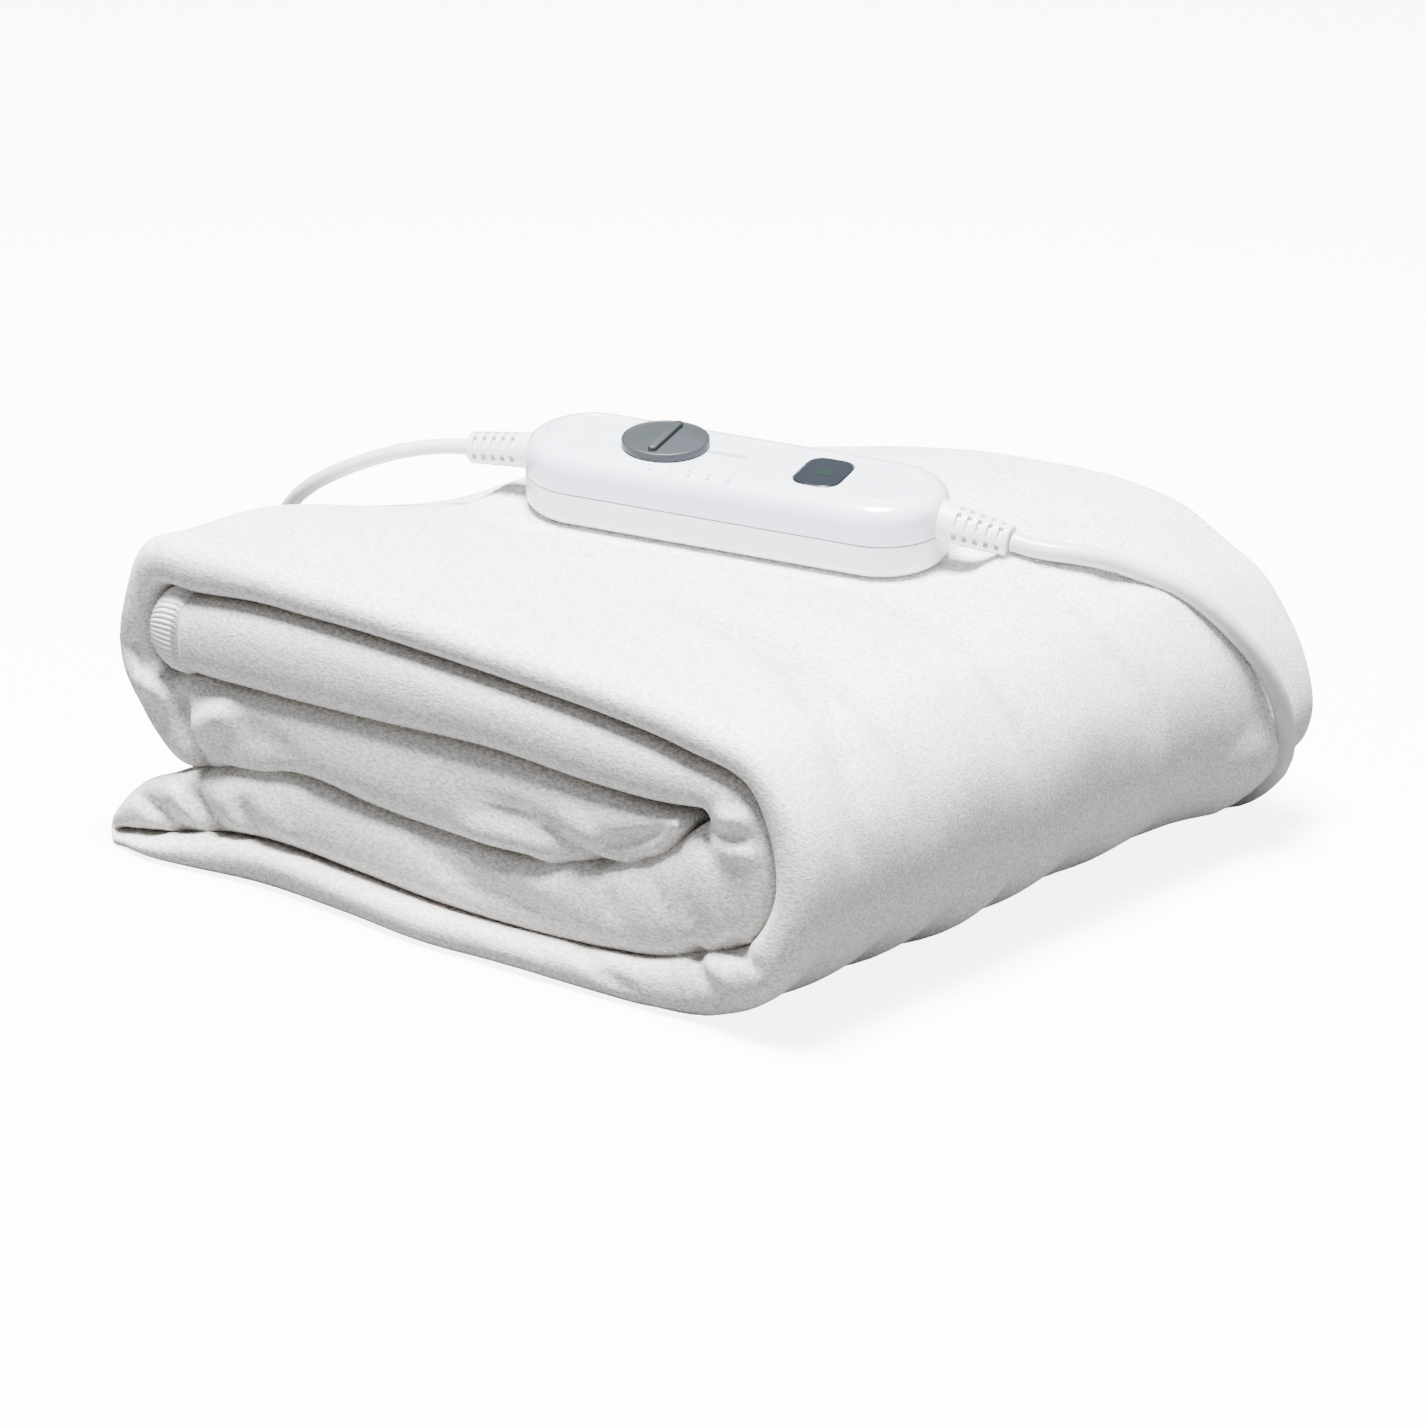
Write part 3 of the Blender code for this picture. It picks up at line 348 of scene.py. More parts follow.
# the fleece: a strip folded back and forth, thick as the plump layers, one row a section
# x and z of the layer's middle, its thickness, its way round in degrees, and how far its edge stands back
fleece = {
    "size": (280.0, 262.0), "ease": 0.3, "edge": 9.0, "full": 0.78, "ringStep": 2.3,
    "plump": 0.9, "plumpAt": 0.8, "plumpWide": 8.0, "plumpFrom": 4.0, "thinnest": 0.5,
    "hemmed": ((-118.4, 73.1, 14.0, 0, 8.0), (-115.0, 73.2, 20.4, 0, 7.0), (-103.0, 73.2, 23.4, 0, 6.5),
               (-81.0, 74.4, 25.6, 1, 6.0), (-33.0, 75.1, 24.8, 1, 6.0), (20.0, 75.1, 20.6, -1, 6.0),
               (60.0, 72.9, 20.0, -4, 6.5), (85.0, 71.5, 16.6, -5, 7.0)),
    # the inner bend on spokes round its hollow: compass and thickness
    "hollow": (97.6, 62.0, 2.4, 8.0),
    "spokes": ((90, 13.6), (62, 14.2), (35, 18.1), (8, 21.2), (-15, 25.2), (-38, 30.2), (-58, 34.9),
               (-75, 36.5), (-90, 38.9)),
    "inner": ((93.0, 37.4, 36.4, -178, 8.4), (83.8, 31.6, 31.4, -173, 8.6), (60.0, 25.1, 26.2, -170, 9.0),
              (28.0, 21.1, 22.1, -180, 9.0), (-5.0, 21.1, 22.1, -180, 8.6), (-40.0, 22.9, 22.8, -182, 9.6),
              (-66.0, 24.7, 23.6, -182, 9.6), (-90.0, 22.4, 19.8, -172, 8.4), (-108.0, 18.2, 18.4, -164, 7.2),
              (-122.0, 13.8, 15.8, -150, 6.0), (-131.5, 9.2, 9.8, -140, 6.0)),
    "tip": ((-137.4, 4.6, 3.4, -115, 7.0), (-136.6, 2.2, 2.8, -20, 6.0)),
    "bottom": ((-128.0, 2.4, 4.2, 2, 3.0), (-115.0, 3.5, 6.2, 4, 1.0), (-102.0, 4.9, 9.0, 3, 2.5),
               (-81.0, 5.8, 11.0, 1, 6.0), (-40.0, 5.3, 10.0, 0, 5.0), (-5.0, 4.9, 9.2, 0, 2.0),
               (28.0, 4.9, 9.2, 0, 4.5), (59.0, 5.7, 10.8, 3, 5.0), (80.0, 7.1, 13.2, 8, 6.0),
               (99.5, 11.2, 18.4, 24, 8.0)),
    "outer": ((121.0, 22.3, 15.4, 55, 6.0), (132.5, 45.5, 13.2, 86, 6.5), (130.0, 64.5, 13.8, 112, 7.0),
              (120.0, 80.0, 12.0, 142, 7.0)),
    "top": ((95.0, 86.8, 11.8, 168, 7.0), (60.0, 90.7, 11.2, 176, 7.0), (40.0, 91.8, 11.0, 177, 7.0),
            (20.0, 92.8, 10.8, 178, 7.0), (-6.0, 94.0, 10.8, 178, 7.0), (-33.0, 95.0, 11.0, 180, 7.0),
            (-54.0, 95.2, 11.4, 181, 7.0), (-75.0, 95.5, 12.0, 182, 7.0), (-103.0, 93.7, 13.4, 187, 7.0)),
    "left": ((-120.5, 90.4, 11.6, 222, 7.0), (-127.6, 77.0, 9.0, 266, 7.0), (-129.2, 61.5, 10.6, 272, 7.5),
             (-121.8, 50.8, 17.0, 316, 8.0), (-112.0, 45.2, 28.2, 344, 9.0)),
    "middle": ((-86.0, 47.1, 25.0, 362, 8.8), (-59.0, 49.1, 22.6, 361, 8.4), (-30.0, 48.2, 26.8, 359, 8.2),
               (10.0, 48.0, 29.4, 360, 8.2), (45.0, 49.2, 25.4, 363, 8.2), (68.0, 51.3, 18.8, 368, 8.4),
               (82.0, 54.3, 12.4, 376, 8.4), (90.6, 58.9, 3.8, 385, 8.4)),
}


def compass(degrees):
    return np.array((math.cos(math.radians(degrees)), math.sin(math.radians(degrees))))


def foldRows():
    x, z, radius, inset = fleece["hollow"]
    spokes = []
    for angle, thick in fleece["spokes"]:
        middle = np.array((x, z)) + compass(angle) * (radius + thick / 2)
        spokes.append((*middle, thick, angle - 90.0, inset))
    return (fleece["hemmed"] + tuple(spokes) + fleece["inner"] + fleece["tip"] + fleece["bottom"]
            + fleece["outer"] + fleece["top"] + fleece["left"] + fleece["middle"])


def foldSections():
    table = []
    for x, z, thick, heading, inset in foldRows():
        middle = np.array((x, z))
        half = compass(heading + 90.0) * (thick - fleece["ease"]) / 2
        table.append((*(middle + half), *(middle - half), inset))
    table = np.array(table)
    knots = alongOf((table[:, 0:2] + table[:, 2:4]) / 2)
    # a section stands closer to the next one where the fold turns sharply
    places = []
    for start, end, row in zip(knots[:-1], knots[1:], range(len(knots))):
        sides = max(np.linalg.norm(table[row + 1, 0:2] - table[row, 0:2]),
                    np.linalg.norm(table[row + 1, 2:4] - table[row, 2:4]))
        count = max(2, math.ceil(max(sides, end - start) / fleece["ringStep"]))
        places += [start + (end - start) * step / count for step in range(count)]
    places = np.array(places + [knots[-1]])
    return smoothThrough(knots, table, places), places


def rimOf(side, steps):
    # the plump edge of a layer: fuller than a half circle, so that the layers meet in a narrow crease
    rim = []
    for step in range(-steps, steps + 1):
        turn = math.pi / 2 * step / steps
        share = math.copysign(abs(math.sin(turn)) ** fleece["full"], turn) if step else 0.0
        rim.append((fleece["edge"] * (1.0 - max(math.cos(turn), 0.0) ** fleece["full"]), side * share))
    return rim


def ringPlaces(inset, front=8, flat=15, back=4, outside=66):
    frontY = -fleece["size"][1] / 2 + inset
    backY = fleece["size"][1] / 2 - inset / 4
    edge = fleece["edge"]
    loop = [(frontY + depth, share) for depth, share in rimOf(1.0, front)]
    loop += [(y, 1.0) for y in np.linspace(frontY + edge, backY - edge, flat)[1:-1]]
    loop += [(backY - depth, share) for depth, share in rimOf(-1.0, back)]
    loop += [(y, -1.0) for y in np.linspace(backY - edge, frontY + edge, outside)[1:-1]]
    return loop


def stripRing(section, loop):
    # the layers bear on each other along their front edges, which are plump there
    middle, half = (section[0:2] + section[2:4]) / 2, (section[0:2] - section[2:4]) / 2
    size = max(np.hypot(*half), fleece["thinnest"])
    front = -fleece["size"][1] / 2 + section[4] + fleece["plumpAt"] * fleece["edge"]
    full = fleece["plump"] * min(size / fleece["plumpFrom"], 1.0) / size
    ring = []
    for y, share in loop:
        share *= 1.0 + full * math.exp(-((y - front) / fleece["plumpWide"]) ** 2)
        ring.append((middle[0] + half[0] * share, y, middle[1] + half[1] * share))
    return ring


# what moves the laid pile, in mm or as a share of its height: it sets in along x, y and z between two
# places, and "round" gives the middle and the half width of a swell that is round along an axis
pile = {
    "heights": (
        {"deep": -0.165, "x": ((-20.0, -118.0),), "y": ((-85.0, 28.0),)},
        {"deep": -0.060, "x": ((15.0, -45.0),), "y": ((60.0, 112.0),)},
        {"deep": -0.030, "y": ((95.0, 125.0),)},
        {"deep": -0.050, "x": ((88.0, 118.0),), "y": ((60.0, 118.0),)},
        {"deep": 0.060, "round": (0, 60.0, 50.0), "y": ((20.0, 100.0),)},
        {"deep": 0.028, "x": ((-92.0, -122.0),), "y": ((-25.0, -80.0),), "z": ((82.0, 98.0),)},
    ),
    "sag": {"deep": 4.5, "x": ((-104.0, -122.0),), "y": ((-124.0, -104.0),),
            "z": ((20.0, 30.0), (62.0, 40.0))},
    "foot": {"deep": 3.4, "round": (1, -32.0, 24.0), "x": ((60.0, 105.0),), "z": ((38.0, 2.0),)},
    "back": {"deep": 8.0, "x": ((50.0, 130.0),), "y": ((70.0, 132.0),), "z": ((25.0, 80.0),)},
    # the lead runs under the bottom layers at the back right
    "corner": {"deep": 9.4, "x": ((36.0, 60.0), (150.0, 124.0)), "y": ((90.0, 108.0),)},
    "cornerHigh": 40.0,
    # the layers under the controller lie flat against its underside
    "seatGap": 0.5, "seatFlat": 7.0, "seatEnds": 22.0, "seatNear": 3.0,
    "floorSoft": 1.6,
}


def moved(points, part):
    amount = np.full(len(points), part["deep"])
    if "round" in part:
        axis, middle, wide = part["round"]
        amount *= np.exp(-((points[:, axis] - middle) / wide) ** 2)
    for axis, name in enumerate("xyz"):
        for start, end in part.get(name, ()):
            amount *= fade(points[:, axis], start, end)
    return amount


def pileShape(points):
    # the pile slumps at the back left and at the back right, and swells between
    shaped = points.copy()
    height = 1.0 + sum(moved(points, part) for part in pile["heights"])
    shaped[:, 2] = (points[:, 2] - moved(points, pile["sag"])) * height
    shaped[:, 0] += moved(points, pile["foot"]) - moved(points, pile["back"])
    return shaped


def pressSeat(points):
    normal = boxTurn() @ Vector((0.0, 0.0, 1.0))
    x, y = points[:, 0] - box["centre"][0], points[:, 1] - box["centre"][1]
    seat = box["centre"][2] - (normal.x * x + normal.y * y) / normal.z - pile["seatGap"]
    yaw = math.radians(box["yaw"])
    along = x * math.cos(yaw) + y * math.sin(yaw)
    aside = y * math.cos(yaw) - x * math.sin(yaw)
    past = np.maximum(np.abs(along) - (box["length"] - box["width"]) / 2, 0.0)
    away = np.maximum(np.hypot(past, aside) - box["width"] / 2, 0.0)
    hold = 1.0 - fade(away, pile["seatFlat"], pile["seatEnds"])
    rows = sorted(fleece["top"] + fleece["outer"][-1:])
    crown = np.interp(points[:, 0], [row[0] for row in rows], [row[1] + row[2] / 2 for row in rows])
    crown = pileShape(np.column_stack((points[:, :2], crown)))[:, 2]
    pressed = points.copy()
    pressed[:, 2] *= 1.0 + hold * (seat / crown - 1.0)
    onSeat = (away < pile["seatFlat"]) & (np.abs(pressed[:, 2] - seat) < pile["seatNear"])
    pressed[onSeat, 2] = seat[onSeat]
    return pressed


def liftCorner(points):
    lifted = points.copy()
    lifted[:, 2] += moved(points, pile["corner"]) * np.clip(1.0 - points[:, 2] / pile["cornerHigh"], 0.0, 1.0)
    return lifted


def layPile(points):
    laid = liftCorner(pressSeat(pileShape(points)))
    laid[:, 2] *= fade(laid[:, 2], 0.0, pile["floorSoft"])
    return laid


def fitPile(points, low, high):
    fitted = points.copy()
    for axis, size in enumerate(fleece["size"]):
        fitted[:, axis] = ((points[:, axis] - low[axis]) / (high[axis] - low[axis]) - 0.5) * size
    return fitted


def gridNormals(grid):
    # outward normals of a grid of points, rings by places round the strip
    along = np.gradient(grid, axis=0)
    around = (np.roll(grid, -1, axis=1) - np.roll(grid, 1, axis=1)) / 2
    normal = np.cross(along, around)
    return normal / np.maximum(np.linalg.norm(normal, axis=2, keepdims=True), 1e-9)


def fleeceFaces(rings, size):
    faces = []
    for ring in range(rings - 1):
        for place in range(size):
            here, beside = ring * size + place, ring * size + (place + 1) % size
            faces.append((here, beside, beside + size, here + size))
    return faces


def meshObject(name, points, faces, material):
    data = bpy.data.meshes.new(name)
    data.from_pydata([tuple(point) for point in points * mm], [], faces)
    shape = bmesh.new()
    shape.from_mesh(data)
    bmesh.ops.holes_fill(shape, edges=[edge for edge in shape.edges if edge.is_boundary], sides=0)
    bmesh.ops.recalc_face_normals(shape, faces=shape.faces)
    shape.to_mesh(data)
    shape.free()
    data.shade_smooth()
    made = bpy.data.objects.new(name, data)
    bpy.context.scene.collection.objects.link(made)
    data.materials.append(material)
    return made


nap = {"fibres": 1000.0, "clumps": 260.0, "clumpShare": 0.5, "rough": 0.62, "deep": 0.00028,
       # strands that lie two ways over the fibres
       "strands": 1300.0, "thin": (0.45, 1.0, 1.0),
       "lies": (((30, 20, 45), "MAXIMUM"), ((60, -35, 135), "MINIMUM")),
       "speckle": ((0.39, (0.58, 0.58, 0.585)), (0.59, (0.99, 0.99, 0.995))),
       "patches": ((0.3, (0.92, 0.92, 0.925)), (0.68, (1.0, 1.0, 1.0))),
       # painted shade: the colour turns darker and warmer the deeper it lies between two layers
       "hollow": ((0.08, (1.0, 1.0, 1.0)), (0.72, (0.73, 0.695, 0.64)))}


def fleeceFinish():
    made = bpy.data.materials.new("white brushed fleece")
    tree, shader = nodeTree(made)
    coordinates = tree.nodes.new("ShaderNodeTexCoord").outputs["Object"]
    fibres = grainNoise(tree, coordinates, nap["fibres"], 2.0, nap["rough"])
    for turn, operation in nap["lies"]:
        strands = grainNoise(tree, coordinates, nap["strands"], 2.0, nap["rough"],
                             {"turn": turn, "scale": nap["thin"]})
        fibres = mathNode(tree, operation, fibres, strands)
    clumps = grainNoise(tree, coordinates, nap["clumps"], 3.0, nap["rough"])
    # painted shade: the fleece's "hollow" attribute darkens its colour in the creases and furrows
    hollow = tree.nodes.new("ShaderNodeAttribute")
    hollow.attribute_name = "hollow"
    colour = timesNode(tree, rampNode(tree, fibres, nap["speckle"]), rampNode(tree, clumps, nap["patches"]))
    colour = timesNode(tree, colour, rampNode(tree, hollow.outputs["Fac"], nap["hollow"]))
    tree.links.new(colour, shader.inputs["Base Color"])
    shader.inputs["Roughness"].default_value = 0.95
    shader.inputs["Specular IOR Level"].default_value = 0.15
    shader.inputs["Sheen Weight"].default_value = 0.25
    shader.inputs["Sheen Roughness"].default_value = 0.5
    height = mathNode(tree, "ADD", fibres, mathNode(tree, "MULTIPLY", clumps, nap["clumpShare"]))
    bumpNode(tree, shader, height, nap["deep"])
    return made


# painted shade: rays from each point show how near other cloth is, only on the sides before "front" and
# "left", and the cloth's colour is darkened by it
paintedShadeSetup = {"reach": 24.0, "rays": 20, "start": 0.4, "front": -95.0, "left": -100.0,
            "furrow": 0.15, "deepest": 3.0, "furrowFrom": (-118.0, -106.0)}


def hollowShares(points, normals, faces):
    # how much of what each point faces is cloth close by, 0 to 1, which is painted on as shade
    rays, reach = paintedShadeSetup["rays"], paintedShadeSetup["reach"]
    tree = BVHTree.FromPolygons([Vector(point) for point in points], faces)
    turns = [math.pi * (3.0 - math.sqrt(5.0)) * ray for ray in range(rays)]
    rises = [(ray + 0.5) / rays for ray in range(rays)]
    shares = np.zeros(len(points))
    wanted = (points[:, 1] < paintedShadeSetup["front"]) | (points[:, 0] < paintedShadeSetup["left"])
    for index in np.nonzero(wanted)[0]:
        up = Vector(normals[index])
        side = up.orthogonal().normalized()
        across = up.cross(side)
        start = Vector(points[index]) + up * paintedShadeSetup["start"]
        near = 0.0
        for turn, rise in zip(turns, rises):
            flat = math.sqrt(1.0 - rise)
            way = up * math.sqrt(rise) + side * (flat * math.cos(turn)) + across * (flat * math.sin(turn))
            away = tree.ray_cast(start, way, reach)[3]
            if away is not None:
                near += 1.0 - away / reach
        shares[index] = near / rays
    return shares


# creases of the cloth, in mm: the line that each follows, its half width and its depth; a ridge is above 0
creases = (
    # by the thin fold at the lower left
    (((-128, -124, 18), (-120, -125, 16), (-114, -125, 13), (-108, -122, 10)), 2.4, -2.6),
    (((-107, -123, 25), (-102, -124, 22), (-97, -124, 17), (-94, -121, 11)), 2.6, -3.2),
    (((-86, -124, 25), (-82, -124, 20), (-78, -122, 14)), 2.8, -2.8),
    (((-124, -126, 12), (-117, -125, 12), (-110, -124, 9)), 2.6, 1.6),
    (((-117, -122, 23), (-109, -124, 21), (-102, -124, 17), (-97, -123, 10)), 3.0, 1.9),
    (((-95, -123, 27), (-88, -124, 23), (-84, -123, 15)), 3.2, 1.6),
    (((-76, -124, 27), (-68, -124, 22), (-62, -123, 16)), 4.0, 1.4),
    # the middle layer's bend on the left swells into a knob over a hollow
    (((-111, -122, 54), (-108, -122, 47), (-107, -122, 41), (-104, -121, 35), (-103, -118, 30)), 2.6, -6.2),
    (((-103, -122, 41), (-99, -122, 46), (-94, -122, 50), (-84, -121, 53)), 4.6, 4.2),
    (((-84, -122, 50), (-75, -122, 49), (-66, -122, 47), (-58, -121, 45)), 3.6, -1.8),
    (((-92, -120, 37), (-80, -119, 38), (-70, -120, 40)), 3.4, 1.8),
    (((-129, -124, 68), (-127, -122, 63), (-123, -121, 58)), 4.0, -4.0),
    (((-124, -124, 55), (-117, -122, 53), (-112, -122, 50)), 3.0, 2.0),
    (((-128, -124, 50), (-121, -122, 44), (-114, -121, 38)), 4.0, -2.0),
    # across the front of the middle layer, and its crumpled end
    (((8, -121, 46), (26, -122, 48), (41, -122, 46), (52, -121, 42), (61, -117, 38)), 2.4, -4.4),
    (((6, -121, 39), (32, -120, 40), (46, -117, 36)), 4.2, 3.0),
    (((47, -123, 52), (56, -122, 49), (66, -119, 44), (74, -116, 42)), 2.4, 2.2),
    (((60, -121, 45), (71, -122, 49), (79, -122, 52), (87, -122, 57)), 2.4, -3.6),
    # in the inner bend: small rolls above and below a short crease
    (((-12, -121, 29), (7, -123, 23), (27, -124, 19), (50, -123, 17)), 4.6, -2.6),
    (((63, -123, 33), (67, -123, 23)), 2.4, -1.6),
    (((78, -121, 41), (84, -123, 35), (91, -124, 31)), 2.2, -1.6),
    (((92, -123, 36), (98, -124, 31), (104, -123, 29)), 2.2, -1.4),
    (((101, -122, 59), (108, -123, 60), (114, -124, 60), (120, -122, 61)), 2.0, -0.9),
    (((106, -123, 65), (113, -123, 66), (118, -122, 67)), 3.0, 2.2),
    (((107, -123, 54), (113, -124, 56), (119, -122, 57)), 2.8, 2.0),
    (((96, -121, 60), (99, -121, 56), (103, -122, 51)), 2.2, -2.2),
    # along the front of the bottom layer
    (((50, -123, 12), (64, -125, 8), (78, -126, 5)), 2.4, -1.6),
    (((92, -118, 24), (97, -120, 18), (103, -124, 14)), 2.6, -2.2),
    (((105, -119, 27), (115, -123, 25), (124, -125, 24)), 2.4, -2.6),
    (((98, -120, 20), (106, -124, 19), (114, -125, 16)), 3.4, 1.6),
    (((20, -128, 5), (36, -127, 6), (46, -127, 5)), 4.0, 1.0),
    (((-112, -124, 9), (-82, -124, 10), (-57, -124, 10), (-30, -126, 9), (0, -127, 9), (30, -125, 9),
      (60, -124, 11), (80, -123, 14), (96, -121, 19)), 3.6, 1.2),
    # the heating wires draw soft furrows over the top and down the right bend
    (((21, -59, 98), (49, -60, 97), (79, -69, 95), (111, -87, 90), (131, -98, 78), (138, -100, 62),
      (140, -97, 50), (137, -95, 34)), 4.4, -2.9),
    (((45, -60, 97), (69, -63, 95), (92, -66, 93), (115, -73, 89), (128, -74, 81), (138, -72, 65),
      (140, -71, 48), (137, -70, 34)), 4.2, -3.1),
    (((37, -12, 93), (69, -12, 95), (100, -15, 92), (128, -22, 81), (137, -20, 67), (140, -18, 55),
      (138, -16, 38)), 4.2, -3.0),
    (((77, 30, 94), (93, 35, 93), (109, 35, 91), (129, 34, 79), (138, 38, 65), (140, 40, 44)), 4.2, -3.0),
    (((40, -36, 97), (80, -38, 95), (110, -46, 91), (130, -48, 80), (138, -46, 64),
      (140, -44, 48)), 9.0, 1.8),
    (((70, 8, 96), (100, 10, 93), (128, 6, 81), (138, 8, 66), (140, 10, 48)), 9.0, 1.8),
    # the pile swells up to the lead that lies on it, and takes it in at the foot
    (((74, 36, 97), (84, 40, 97), (94, 45, 96), (101, 50, 95), (108, 57, 93)), 9.0, 3.9),
    (((112, 61, 91), (123, 69, 86), (131, 76, 79), (137, 83, 70), (140, 90, 60), (141, 97, 48)), 8.0, 1.9),
    (((140, 99, 42), (137, 103, 32), (131, 106, 22), (121, 110, 12), (110, 113, 6)), 12.0, 3.2),
    (((139, 84, 42), (135, 90, 29), (127, 96, 17), (116, 99, 8)), 15.0, 3.7),
    (((88, 37, 96), (99, 42, 94), (110, 52, 92), (119, 60, 86), (128, 67, 78), (134, 74, 68)), 3.6, -1.3),
)
# small swells and nips along the foot of the right bend: place from front to back, half width, depth
footNips = ((-108, 4.5, -1.3), (-91, 8.0, 0.9), (-75, 4.5, -1.5), (-62, 7.0, 0.9), (-49, 4.5, -1.4),
            (-33, 8.0, 1.0), (-18, 4.5, -1.4), (-2, 8.0, 0.9), (15, 5.0, -1.1), (40, 9.0, 0.8),
            (62, 5.0, -0.9))
# the line that each follows down the bend: across, how far it leans from its place, and up
footLine = ((139, 6, 38), (131, 1, 20), (120, -2, 9), (104, -4, 2))
creaseEnds = {"start": (-0.12, 0.25), "end": (1.12, 0.75), "nip": (0.0, 0.5)}


def nearLine(points, line):
    # distance of each point from a broken line, and how far along it the nearest place is, 0 to 1
    line = np.array(line, float)
    along = alongOf(line)
    best, place = np.full(len(points), 1e9), np.zeros(len(points))
    for start, end, begun in zip(line[:-1], line[1:], along[:-1]):
        way = end - start
        share = np.clip((points - start) @ way / (way @ way), 0.0, 1.0)
        away = np.linalg.norm(points - start - share[:, None] * way, axis=1)
        nearer = away < best
        best[nearer] = away[nearer]
        place[nearer] = (begun + share * np.linalg.norm(way))[nearer] / along[-1]
    return best, place


def creaseHeights(points):
    height = np.zeros(len(points))
    for line, wide, deep in creases:
        away, place = nearLine(points, line)
        ends = fade(place, *creaseEnds["start"]) * fade(place, *creaseEnds["end"])
        height += deep * ends * np.exp(-(away / wide) ** 2)
    for middle, wide, deep in footNips:
        away, place = nearLine(points, [(x, middle + lean, z) for x, lean, z in footLine])
        height += deep * fade(place, *creaseEnds["nip"]) * np.exp(-(away / wide) ** 2)
    return height


sections, places = foldSections()
loops = [ringPlaces(section[4]) for section in sections]
ringSize = len(loops[0])
laid = np.array([stripRing(section, loop) for section, loop in zip(sections, loops)])
laid = layPile(laid.reshape(-1, 3))
pileLow, pileHigh = laid.min(axis=0), laid.max(axis=0)
laid = fitPile(laid, pileLow, pileHigh)
print("layers laid")

normals = gridNormals(laid.reshape(-1, ringSize, 3)).reshape(-1, 3)
heights = creaseHeights(laid)
fleecePoints = laid + normals * heights[:, None]
fleecePoints[:, 2] = np.maximum(fleecePoints[:, 2], 0.0)
print("creases")

faces = fleeceFaces(len(places), ringSize)
# painted shade in the creases, from how near other cloth is, kept on the fleece as its "hollow" attribute
paintedShade = hollowShares(fleecePoints, normals, faces).reshape(-1, ringSize)
for smoothing in range(2):
    paintedShade[1:-1] = paintedShade[1:-1] / 2 + (paintedShade[:-2] + paintedShade[2:]) / 4
# painted shade: a wire's furrow is coloured darker too, more the deeper it is
furrows = np.clip(-heights, 0.0, paintedShadeSetup["deepest"]) * fade(laid[:, 1], *paintedShadeSetup["furrowFrom"])
paintedShade += furrows.reshape(paintedShade.shape) * paintedShadeSetup["furrow"]
fleeceMesh = meshObject("fleece", fleecePoints, faces, fleeceFinish())
shade = fleeceMesh.data.attributes.new("hollow", "FLOAT", "POINT")
shade.data.foreach_set("value", paintedShade.ravel().astype(np.float32))
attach(fleeceMesh, "blanket")
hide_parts("blanket")
print("fleece", len(fleeceMesh.data.polygons), "faces")


# the overlocked hem: threads lie side by side over the last of the cloth, round its folded edge

hem = {"wide": 13.4, "rows": 12, "inset": 7.4, "loop": (96, 700, 60, 700), "pitch": 1.6, "steps": 6,
       "proud": 0.35, "thread": 0.6, "starts": (0.0, 0.7), "ends": (0.85, 0.25), "tuck": 0.16, "sunk": 0.4,
       # the stitch goes to and fro between two rows, each at its own height over the cloth
       "stitch": 0.26, "between": ((-1, 0.5), (-3, 1.05))}


def hemGrid():
    # sections of the cloth's hemmed end at finer places, from the end inwards
    knots = np.linspace(0.0, hem["wide"], hem["rows"])
    fine = np.column_stack([np.interp(knots, places, sections[:, column]) for column in range(5)])
    loop = ringPlaces(hem["inset"], *hem["loop"])
    rings = []
    for section in fine:
        shifted = [(y + section[4] - hem["inset"] if y < 0 else y, share) for y, share in loop]
        rings.append(stripRing(section, shifted))
    grid = fitPile(layPile(np.array(rings).reshape(-1, 3)), pileLow, pileHigh)
    return grid.reshape(hem["rows"], len(loop), 3)


def evenLoop(grid, spacing):
    # the same places round every ring, evenly spaced by the middle ring's length
    middle = grid[len(grid) // 2]
    closed = np.vstack((middle, middle[:1]))
    along = alongOf(closed)
    count = round(along[-1] / spacing)
    at = np.linspace(0.0, along[-1], count, endpoint=False)
    even = []
    for ring in grid:
        ringClosed = np.vstack((ring, ring[:1]))
        even.append(np.column_stack([np.interp(at, along, ringClosed[:, axis]) for axis in range(3)]))
    return np.array(even), at


hemRings, hemAt = evenLoop(hemGrid(), hem["pitch"] / hem["steps"])
hemNormals = gridNormals(hemRings)
ridge = np.sqrt(np.abs(np.sin(math.pi * hemAt / hem["pitch"])))
edgeDrop = np.array([*hem["starts"], *[1.0] * (hem["rows"] - 4), *hem["ends"]])
lift = hem["proud"] + hem["thread"] * ridge[None, :] * edgeDrop[:, None]
hemPoints = hemRings + hemNormals * lift[:, :, None]
# both its ends go into the cloth
inward = hemRings[0] + (hemRings[0].mean(axis=0) - hemRings[0]) * np.array((0.0, 0.0, hem["tuck"]))
inward[:, 0] -= hem["sunk"]
outward = hemRings[-1] - hemNormals[-1] * hem["sunk"]
hemPoints = np.vstack((inward[None], hemPoints, outward[None]))
threadFinish = plastic("white overlock thread", (0.84, 0.84, 0.85), (0.95, 0.95, 0.955), 0.6,
                       grain=1500.0, deep=0.00008, mottle=900.0)
hemPiece = meshObject("hem_overlock", hemPoints.reshape(-1, 3),
                      fleeceFaces(len(hemPoints), hemPoints.shape[1]), threadFinish)
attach(hemPiece, "blanket")

